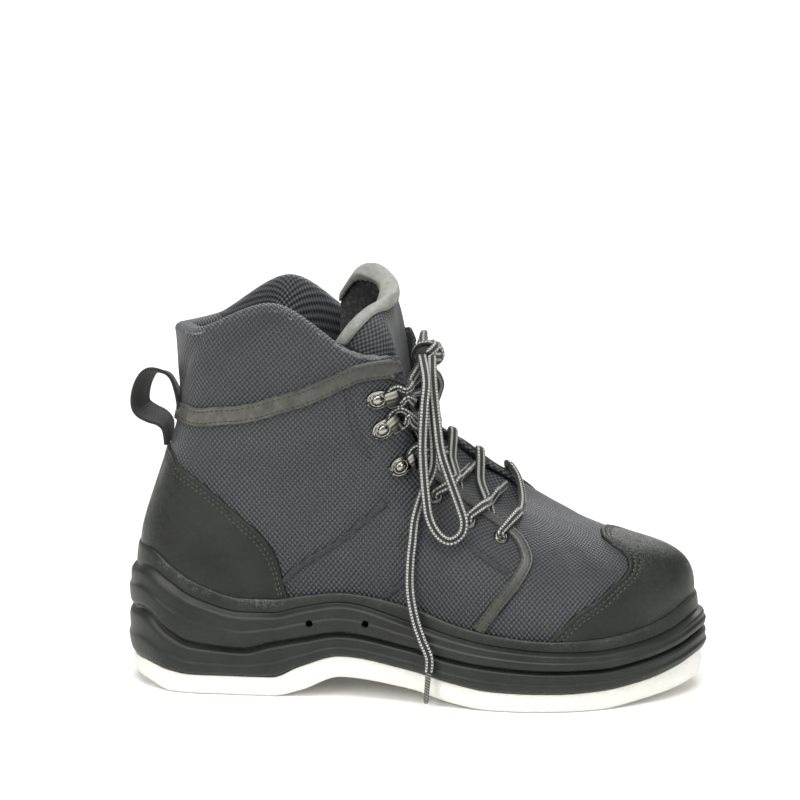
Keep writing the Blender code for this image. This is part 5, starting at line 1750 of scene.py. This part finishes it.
def crossing_stops(low, high, mirror):
    """A strand over the tongue, from under one edge of the throat to over the other."""
    (low_turn, _, low_hook), (high_turn, high_up, high_hook) = low, high
    leave, arrive = STRAND_LEANS[high_up > LEAN_SPLIT, mirror]
    start = low_turn + HOOK_SPREAD if low_hook else low_turn - leave
    end = high_turn - HOOK_SPREAD if high_hook else high_turn - arrive
    first = [(0.02, OVER_RIM), (0.16, BY_RIM)] if low_hook else [(0.05, -6.0 * MM), (0.18, -3.6 * MM)]
    rest = [(0.35, ON_TONGUE), (0.50, ON_TONGUE + (2.4 * MM if mirror else 0)), (0.65, ON_TONGUE + 0.3 * MM),
            (0.84, BY_RIM), (0.98, OVER_RIM)]
    stops = []
    for share, lift in first + rest:
        place = 1 - share if mirror else share
        turn = start + (end - start) * share
        stops.append((over_throat(turn, place, lift), out_of_throat(turn, place), 1.0))
    if not high_hook:
        around = high_turn - arrive * 0.6 if mirror else 2 - high_turn + arrive * 0.6
        stops.append((skin(around, 0.92, 3.4 * MM), outward(around, 0.92), 1.0))
    return stops


TIE_FACING = Vector((0.8, 0, 0.6))


def make_strands():
    """The lace from the bar at the lowest eyelets up over the tongue and round the hooks to the knot."""
    rows = fastenings()
    bar = []
    for turn, share, lift in BAR_WAY:
        hint = out_of_throat(turn, min(max(share, 0.2), 0.8))
        bar.append((over_throat(turn, share, lift), hint, 1.0))
    for name, inner, tie, nodes in (
        ("strand_from_outer", False, TIE_INNER,
         ("lace_bar", "lace_cross_1", "lace_cross_3", "lace_cross_5", "lace_tie_inner")),
        ("strand_from_inner", True, TIE_OUTER, ("lace_cross_2", "lace_cross_4", "lace_tie_outer")),
    ):
        far_eyelet = eyelet_stops(1, True)
        stops = far_eyelet[1:] if inner else far_eyelet[::-1] + bar[::-1] + eyelet_stops(1, False)
        for k, (low, high) in enumerate(zip(rows, rows[1:])):
            stops += crossing_stops(low, high, inner)
            inner = not inner
            stops += hook_stops(k - 1, inner) if high[2] else eyelet_stops(k + 2, inner)
        share = 0.98 if inner else 0.02
        turn = rows[-1][0] + HOOK_SPREAD
        stops.append((over_throat(turn, share, OVER_RIM), out_of_throat(turn, share), 1.0))
        stops += [(Vector(point), TIE_FACING, 0.9) for point in tie]
        stops.append((Vector(KNOT_CENTRE), TIE_FACING, 0.8))
        piece, _, _ = lace(name, stops)
        dress(piece, lace_weave(), "lace", *nodes)


# The windings of the knot, in half sizes of it: the band round the middle, the two crossed strands that come
# out of it, and one below
KNOT_WRAPS = (
    ((0.55, -0.10, 0.95), (1.00, -0.12, 0.35), (0.95, -0.10, -0.55), (0.25, -0.05, -1.0), (-0.6, 0.0, -0.9),
     (-0.95, 0.05, -0.1), (-0.6, 0.0, 0.8), (0.1, -0.05, 1.05), (0.7, -0.10, 0.85)),
    ((0.30, 1.05, 0.15), (0.75, 0.65, 0.55), (0.90, 0.10, 0.25), (0.85, -0.45, -0.10), (0.50, -0.95, 0.10)),
    ((0.20, -1.00, 0.30), (0.60, -0.55, 0.75), (0.60, 0.05, 0.95), (0.45, 0.60, 0.80), (0.10, 1.05, 0.45)),
    ((0.15, -0.90, -0.35), (0.70, -0.55, -0.55), (0.85, -0.05, -0.65), (0.60, 0.50, -0.65),
     (0.20, 0.80, -0.5)),
)


def make_knot():
    """The bow's knot: a lace wound round the crossed loops, over a packed middle."""
    centre = Vector(KNOT_CENTRE)
    pieces = []
    x, y, z = KNOT_SIZE
    for k, wrap in enumerate(KNOT_WRAPS):
        stops = []
        for a, b, c in wrap:
            point = centre + Vector((a * x, b * y, c * z))
            stops.append((point, (point - centre).normalized(), 0.95))
        pieces.append(lace("knot_wrap_%d" % k, stops, thickness=0.0024, spacing=0.0008)[0])
    core = primitive("uv_sphere", segments=24, ring_count=16, radius=1)
    core.data.transform(Matrix.Translation(centre) @ Matrix.Diagonal((x * 0.8, y * 0.8, z * 0.8, 1)))
    for corner in core.data.uv_layers[0].data:
        corner.uv = (0, 0)
    pieces.append(core)
    dress(join("bow_knot", pieces), lace_weave(), "lace", "lace_knot")


def facing_out(point):
    """The way that a hanging lace faces: away from the boot's middle line, and a little ahead."""
    return Vector((0.25, -1.0 if point.y < -0.006 else 1.0, 0.1))


def make_bow():
    """The two loops and the two ends of the bow, with their tips."""
    for name, route, node, tip in (
        ("bow_loop_outer", LOOP_OUTER, "lace_loop_outer", None),
        ("bow_loop_inner", LOOP_INNER, "lace_loop_inner", None),
        ("bow_end_outer", END_OUTER, "lace_end_outer", ("lace_tip_outer", AGLET_OUTER, "aglet_outer")),
        ("bow_end_inner", END_INNER, "lace_end_inner", ("lace_tip_inner", AGLET_INNER, "aglet_inner")),
    ):
        stops = [(Vector(point), facing_out(Vector(point)), 0.95) for point in route]
        piece, points, length = lace(name, stops)
        dress(piece, lace_weave(), "lace", node)
        if tip:
            tip_name, tip_route, tip_node = tip
            start, end = Vector(tip_route[0]), Vector(tip_route[1])
            tip_stops = [(start.lerp(end, t), facing_out(start), s)
                         for t, s in ((0.0, 0.95), (0.25, 0.85), (0.6, 0.8), (0.92, 0.8), (1.0, 0.6))]
            tip_piece, _, _ = lace(tip_name, tip_stops, TIP_WIDTH, TIP_THICKNESS, 0.0008)
            dress(tip_piece, tip_braid(), "lace_tip", tip_node)


# Materials: colours are linear, lengths in metres


def start_surface(name, colour, roughness, **sockets):
    surface = bpy.data.materials.new(name)
    surface.use_nodes = True
    tree = surface.node_tree
    shader = tree.nodes["Principled BSDF"]
    shader.inputs["Base Color"].default_value = (*colour, 1)
    shader.inputs["Roughness"].default_value = roughness
    for key, value in sockets.items():
        shader.inputs[key.replace("_", " ")].default_value = value
    return surface, tree, shader


def put(tree, kind, inputs=None, **settings):
    """A node with its settings and inputs; an input may be a socket or a value."""
    node = tree.nodes.new(kind)
    for key, value in settings.items():
        setattr(node, key, value)
    for key, value in (inputs or {}).items():
        if isinstance(value, bpy.types.NodeSocket):
            tree.links.new(value, node.inputs[key])
        else:
            node.inputs[key].default_value = value
    return node


def paint(tree, shader, colour):
    tree.links.new(colour, shader.inputs["Base Color"])


def attribute(tree, name):
    return put(tree, "ShaderNodeAttribute", attribute_name=name).outputs["Fac"]


def separate(tree, vector):
    return put(tree, "ShaderNodeSeparateXYZ", {"Vector": vector}).outputs


def uv_parts(tree):
    return separate(tree, put(tree, "ShaderNodeUVMap").outputs["UV"])


def object_place(tree):
    return put(tree, "ShaderNodeTexCoord").outputs["Object"]


def sums(tree, operation, a, b=0.0, c=0.0):
    return put(tree, "ShaderNodeMath", {0: a, 1: b, 2: c}, operation=operation).outputs[0]


def object_noise(tree, size, detail=3.0, roughness=0.5):
    """Noise over the piece, with grains of a size in metres."""
    return put(tree, "ShaderNodeTexNoise", {"Vector": object_place(tree), "Scale": 1 / size, "Detail": detail,
                                            "Roughness": roughness}).outputs["Fac"]


def shades(tree, value, *stops):
    """Colours along a value."""
    ramp = put(tree, "ShaderNodeValToRGB", {"Fac": value})
    for element, (place, colour) in zip(ramp.color_ramp.elements, (stops[0], stops[-1])):
        element.position = place
        element.color = (*colour, 1)
    for place, colour in stops[1:-1]:
        ramp.color_ramp.elements.new(place).color = (*colour, 1)
    return ramp.outputs["Color"]


def blend(tree, share, a, b, mode="MIX"):
    node = tree.nodes.new("ShaderNodeMix")
    node.data_type = "RGBA"
    node.blend_type = mode
    for key, value in (("Factor", share), ("A", a), ("B", b)):
        socket = next(s for s in node.inputs if s.name == key and s.enabled)
        if isinstance(value, bpy.types.NodeSocket):
            tree.links.new(value, socket)
        else:
            socket.default_value = (*value, 1) if isinstance(value, tuple) else value
    return next(s for s in node.outputs if s.enabled)


def grey(value):
    return (value, value, value)


def relief(tree, shader, height, distance, strength=1.0):
    """Bump from a height between 0 and 1."""
    node = put(tree, "ShaderNodeBump", {"Height": height, "Distance": distance, "Strength": strength})
    tree.links.new(node.outputs["Normal"], shader.inputs["Normal"])


def threads(tree, across, along):
    """A heavy plain weave: 1 on top of a thread and 0 in the pit between threads."""
    parts = uv_parts(tree)
    u = sums(tree, "COSINE", sums(tree, "MULTIPLY", parts[0], 2 * math.pi / across))
    v = sums(tree, "COSINE", sums(tree, "MULTIPLY", parts[1], 2 * math.pi / along))
    return sums(tree, "MULTIPLY_ADD", sums(tree, "MULTIPLY", u, v), 0.5, 0.5)


def ripple(tree, value, pitch=1.0):
    """A wave between 0 and 1 along a value."""
    wave = sums(tree, "SINE", sums(tree, "MULTIPLY", value, 2 * math.pi / pitch))
    return sums(tree, "MULTIPLY_ADD", wave, 0.5, 0.5)


WEAVE = (0.0028, 0.0035)
MADE = {}


def once(function):
    """Each finish is made once and shared by the pieces that have it."""
    def get():
        if function.__name__ not in MADE:
            MADE[function.__name__] = function()
        return MADE[function.__name__]
    return get


@once
def upper_cloth():
    surface, tree, shader = start_surface("ballistic_cloth", (0.1, 0.105, 0.125), 0.52, Sheen_Weight=0.12,
                                          Sheen_Roughness=0.5)
    weave = threads(tree, *WEAVE)
    # The weave's pits are painted near black: painted shade between the threads.
    cloth = shades(tree, weave, (0.0, (0.002, 0.002, 0.003)), (0.25, (0.006, 0.007, 0.009)),
                   (0.45, (0.105, 0.114, 0.132)), (1.0, (0.40, 0.42, 0.455)))
    broad = object_noise(tree, 0.045, 2.0)
    tone = shades(tree, broad, (0.3, grey(0.80)), (0.7, grey(1.14)))
    cloth = blend(tree, 1.0, cloth, tone, "MULTIPLY")
    # Dark thread and painted shade along the seams: the cloth is darkened by the seam mark.
    seam = sums(tree, "MULTIPLY", attribute(tree, "seam"), 0.8)
    cloth = blend(tree, seam, cloth, (0.012, 0.013, 0.016))
    lined = sums(tree, "MULTIPLY", attribute(tree, "lined"), 0.85)
    cloth = blend(tree, lined, cloth, (0.010, 0.010, 0.012))
    paint(tree, shader, cloth)
    fine = object_noise(tree, 0.0006, 2.0)
    height = sums(tree, "MULTIPLY_ADD", fine, 0.25, weave)
    relief(tree, shader, height, 0.0009, 1.0)
    return surface


def woven(name, colour, roughness, sheen, pitches, depth, *stops):
    """A plain weave with its own pitches and shades."""
    surface, tree, shader = start_surface(name, colour, roughness, Sheen_Weight=sheen)
    weave = threads(tree, *pitches)
    # The pits between the threads are painted darkest: painted shade.
    paint(tree, shader, shades(tree, weave, *stops))
    relief(tree, shader, weave, depth, 0.8)
    return surface


@once
def shaded_tongue_cloth():
    """The tongue's face, of the same weave as the upper but painted blacker as shade, since it lies in the
    throat's shadow.
    """
    return woven("shaded_tongue_cloth", (0.04, 0.042, 0.05), 0.66, 0.08, WEAVE, 0.0004,
                 (0.0, (0.002, 0.002, 0.002)), (0.30, (0.005, 0.006, 0.007)),
                 (0.46, (0.026, 0.028, 0.030)), (1.0, (0.080, 0.085, 0.088)))


@once
def webbing():
    return woven("black_webbing", (0.016, 0.016, 0.016), 0.72, 0.1, (0.0016, 0.0022), 0.0003,
                 (0.0, grey(0.002)), (0.6, grey(0.007)), (1.0, grey(0.017)))


# Finishes of fibres or grains: colour, roughness, sheen, then the grain's size, detail and roughness, the
# relief's depth and strength, and the shades
FIBRES = {
    # The seam cloth is painted dark: painted shade along the panels' folds.
    "shaded_seam_cloth": ((0.05, 0.053, 0.062), 0.66, 0.1, (0.0012, 3.0), (0.0003, 0.8),
                   ((0.3, (0.007, 0.008, 0.009)), (0.7, (0.034, 0.036, 0.041)))),
    "frayed_edge": ((0.16, 0.165, 0.17), 0.9, 0.3, (0.0012, 4.0, 0.7), (0.0005, 1.0),
                    ((0.3, (0.03, 0.032, 0.036)), (0.5, (0.10, 0.104, 0.11)), (0.72, (0.24, 0.245, 0.25)))),
    "white_felt": ((0.82, 0.80, 0.73), 1.0, 0.25, (0.0018, 6.0, 0.75), (0.0009, 0.9),
                   ((0.25, (0.74, 0.73, 0.65)), (0.42, (0.89, 0.88, 0.81)), (0.7, (0.96, 0.955, 0.90)))),
    "dark_fleece": ((0.03, 0.03, 0.032), 1.0, 0.4, (0.0024, 6.0, 0.7), (0.0014, 1.0),
                    ((0.35, (0.008, 0.008, 0.009)), (0.52, (0.035, 0.035, 0.036)), (0.70, grey(0.11)))),
    "insole_cloth": ((0.035, 0.036, 0.04), 0.9, 0.0, (0.0015, 4.0, 0.7), (0.0005, 0.8),
                     ((0.3, (0.018, 0.018, 0.02)), (0.7, (0.06, 0.06, 0.066)))),
}
# Threads, with their dark and their light shade
THREADS = {
    "leather_thread": ((0.010, 0.011, 0.010), (0.075, 0.078, 0.070)),
    "dark_thread": ((0.008, 0.008, 0.009), (0.028, 0.028, 0.03)),
    "light_thread": ((0.12, 0.12, 0.115), (0.26, 0.26, 0.25)),
}
for key, (dark, light) in THREADS.items():
    FIBRES[key] = (light, 0.7, 0.1, (0.0006, 2.0), (0.0001, 0.8), ((0.3, dark), (0.7, light)))


def fibrous(name):
    if name not in MADE:
        colour, roughness, sheen, grain, bump, stops = FIBRES[name]
        MADE[name], tree, shader = start_surface(name, colour, roughness, Sheen_Weight=sheen)
        fibres = object_noise(tree, *grain)
        paint(tree, shader, shades(tree, fibres, *stops))
        relief(tree, shader, fibres, *bump)
    return MADE[name]


@once
def leather():
    surface, tree, shader = start_surface("black_leather", (0.02, 0.022, 0.02), 0.40, Specular_IOR_Level=0.36)
    cells = put(tree, "ShaderNodeTexVoronoi", {"Vector": object_place(tree), "Scale": 1100.0},
                feature="DISTANCE_TO_EDGE")
    grain = sums(tree, "MINIMUM", sums(tree, "MULTIPLY", cells.outputs["Distance"], 3.0), 1.0)
    broad = object_noise(tree, 0.03, 3.0)
    colour = shades(tree, broad, (0.32, (0.0050, 0.0065, 0.0045)), (0.68, (0.0170, 0.0205, 0.0150)))
    colour = blend(tree, 0.35, colour, shades(tree, grain, (0.0, grey(0.3)), (1.0, grey(1.0))), "MULTIPLY")
    paint(tree, shader, colour)
    rough = shades(tree, object_noise(tree, 0.008, 4.0), (0.3, grey(0.30)), (0.7, grey(0.46)))
    tree.links.new(rough, shader.inputs["Roughness"])
    pebble = object_noise(tree, 0.0022, 3.0)
    height = sums(tree, "MULTIPLY_ADD", pebble, 0.8, sums(tree, "MULTIPLY", grain, 0.5))
    relief(tree, shader, height, 0.00028, 0.85)
    return surface


@once
def rubber():
    surface, tree, shader = start_surface("moulded_rubber", (0.032, 0.034, 0.033), 0.44,
                                          Specular_IOR_Level=0.32)
    broad = object_noise(tree, 0.02, 4.0)
    colour = shades(tree, broad, (0.3, (0.0115, 0.0130, 0.0105)), (0.7, (0.021, 0.0235, 0.0195)))
    specks = object_noise(tree, 0.0011, 5.0, 0.75)
    wear_and_shade = attribute(tree, "wear")
    patches = shades(tree, object_noise(tree, 0.012, 2.0), (0.42, grey(0)), (0.6, grey(1)))
    mask = sums(tree, "MULTIPLY", wear_and_shade, shades(tree, specks, (0.48, grey(0)), (0.62, grey(1))))
    mask = sums(tree, "MULTIPLY", sums(tree, "MULTIPLY", mask, patches), 0.55)
    colour = blend(tree, mask, colour, (0.24, 0.245, 0.23))
    dust = shades(tree, object_noise(tree, 0.0008, 2.0), (0.70, grey(0)), (0.74, grey(0.35)))
    colour = blend(tree, dust, colour, (0.16, 0.16, 0.15))
    paint(tree, shader, colour)
    pits = object_noise(tree, 0.0016, 4.0)
    height = sums(tree, "MULTIPLY_ADD", pits, 0.6, sums(tree, "MULTIPLY", specks, 0.3))
    relief(tree, shader, height, 0.0003, 0.6)
    return surface


def ribbed(name, dark, light, rough, pitch, sheen=0.0, wear_and_shade=False):
    """A folded tape with faint ribs across it. With the flag set it gets painted shade, darker towards the
    toe.
    """
    surface, tree, shader = start_surface(name, light, rough, Sheen_Weight=sheen)
    ribs = ripple(tree, uv_parts(tree)[0], pitch)
    cloud = object_noise(tree, 0.006, 4.0, 0.65)
    value = sums(tree, "MULTIPLY_ADD", ribs, 0.18, cloud)
    colour = shades(tree, value, (0.35, dark), (0.8, light))
    if wear_and_shade:
        # Painted shade: the tape is painted darker towards the toe, where it turns away from the light.
        ahead = sums(tree, "MULTIPLY", separate(tree, object_place(tree))[0], 5.0)
        shade = shades(tree, ahead, (0.05, grey(1.0)), (0.45, grey(0.5)))
        colour = blend(tree, 1.0, colour, shade, "MULTIPLY")
    paint(tree, shader, colour)
    height = sums(tree, "MULTIPLY_ADD", ribs, 0.35, object_noise(tree, 0.0009, 3.0))
    relief(tree, shader, height, 0.0002, 0.55)
    return surface


@once
def tape():
    return ribbed("grey_brown_tape", (0.040, 0.040, 0.033), (0.115, 0.114, 0.096), 0.38, 0.0009, wear_and_shade=True)


@once
def light_tape():
    return ribbed("light_grey_tape", (0.16, 0.162, 0.148), (0.28, 0.282, 0.258), 0.6, 0.0010, 0.1)


@once
def gunmetal():
    surface, tree, shader = start_surface("gunmetal", (0.20, 0.198, 0.19), 0.24, Metallic=1.0)
    smear = object_noise(tree, 0.003, 4.0)
    rough = shades(tree, smear, (0.3, grey(0.16)), (0.7, grey(0.28)))
    tree.links.new(rough, shader.inputs["Roughness"])
    # Painted highlight and painted shade: the metal is coloured from near black to bright by the mark on each
    # point, standing in for its reflections.
    colour = shades(tree, attribute(tree, "painted_highlight"), (0.0, (0.014, 0.014, 0.011)),
                    (0.4, (0.055, 0.055, 0.047)), (1.0, (0.44, 0.436, 0.39)))
    paint(tree, shader, colour)
    relief(tree, shader, object_noise(tree, 0.0006, 2.0), 0.00004, 0.5)
    return surface


@once
def lace_weave():
    """Black lace with a light herringbone line along each side."""
    surface, tree, shader = start_surface("woven_lace", (0.012, 0.012, 0.012), 0.8, Sheen_Weight=0.15)
    parts = uv_parts(tree)
    along, across = parts[0], sums(tree, "ABSOLUTE", parts[1])
    off_line = sums(tree, "ABSOLUTE", sums(tree, "SUBTRACT", across, LACE_LINE))
    line = sums(tree, "LESS_THAN", off_line, LACE_LINE_WIDTH)
    slant = sums(tree, "MULTIPLY_ADD", off_line, 2.2, sums(tree, "MULTIPLY", along, 1 / LACE_PITCH))
    dash = sums(tree, "SINE", sums(tree, "MULTIPLY", slant, 2 * math.pi))
    light = sums(tree, "MULTIPLY", line, sums(tree, "GREATER_THAN", dash, -0.15))
    plait = ripple(tree, along, LACE_PITCH)
    dark = shades(tree, plait, (0.0, grey(0.004)), (1.0, grey(0.022)))
    fuzz = object_noise(tree, 0.0007, 3.0)
    fibre = shades(tree, fuzz, (0.3, (0.36, 0.365, 0.335)), (0.7, (0.72, 0.73, 0.68)))
    colour = blend(tree, light, dark, fibre)
    paint(tree, shader, colour)
    height = sums(tree, "MULTIPLY_ADD", light, 0.5, sums(tree, "MULTIPLY", plait, 0.6))
    relief(tree, shader, height, 0.0003, 0.8)
    return surface


LACE_LINE = 0.58
LACE_LINE_WIDTH = 0.23
LACE_PITCH = 0.0017
TIP_PITCH = 0.0016


@once
def tip_braid():
    surface, tree, shader = start_surface("lace_tip_braid", (0.06, 0.06, 0.058), 0.6)
    parts = uv_parts(tree)
    turn = sums(tree, "MULTIPLY_ADD", parts[1], 0.5, sums(tree, "MULTIPLY", parts[0], 1 / TIP_PITCH))
    wave = ripple(tree, turn)
    colour = shades(tree, wave, (0.2, grey(0.02)), (0.8, (0.24, 0.24, 0.23)))
    paint(tree, shader, colour)
    relief(tree, shader, wave, 0.0002, 0.8)
    return surface


@once
def pale_floor():
    surface, tree, shader = start_surface("pale_floor", (0.93, 0.93, 0.91), 0.9)
    cloud = object_noise(tree, 0.8, 2.0)
    colour = shades(tree, cloud, (0.3, (0.92, 0.92, 0.90)), (0.7, (0.94, 0.94, 0.925)))
    paint(tree, shader, colour)
    return surface


make_camera()
make_bow()
make_strands()
make_knot()
make_felt()
make_rubber_cup()
make_upper()
make_collar_edge()
make_insole()
make_cover("toe_leather", TOE_CAP, -0.334, 0.334, 240, "leather", "toe_cap")
make_cover("heel_leather", COUNTER, 0.640, 1.360, 260, "leather", "heel_counter")
make_ankle_strip()
make_quarter_bindings()
make_seam_folds()
make_cloth_stitches()
make_tongue()
make_eyelets()
make_hooks()
make_pull_loop()
make_studio()
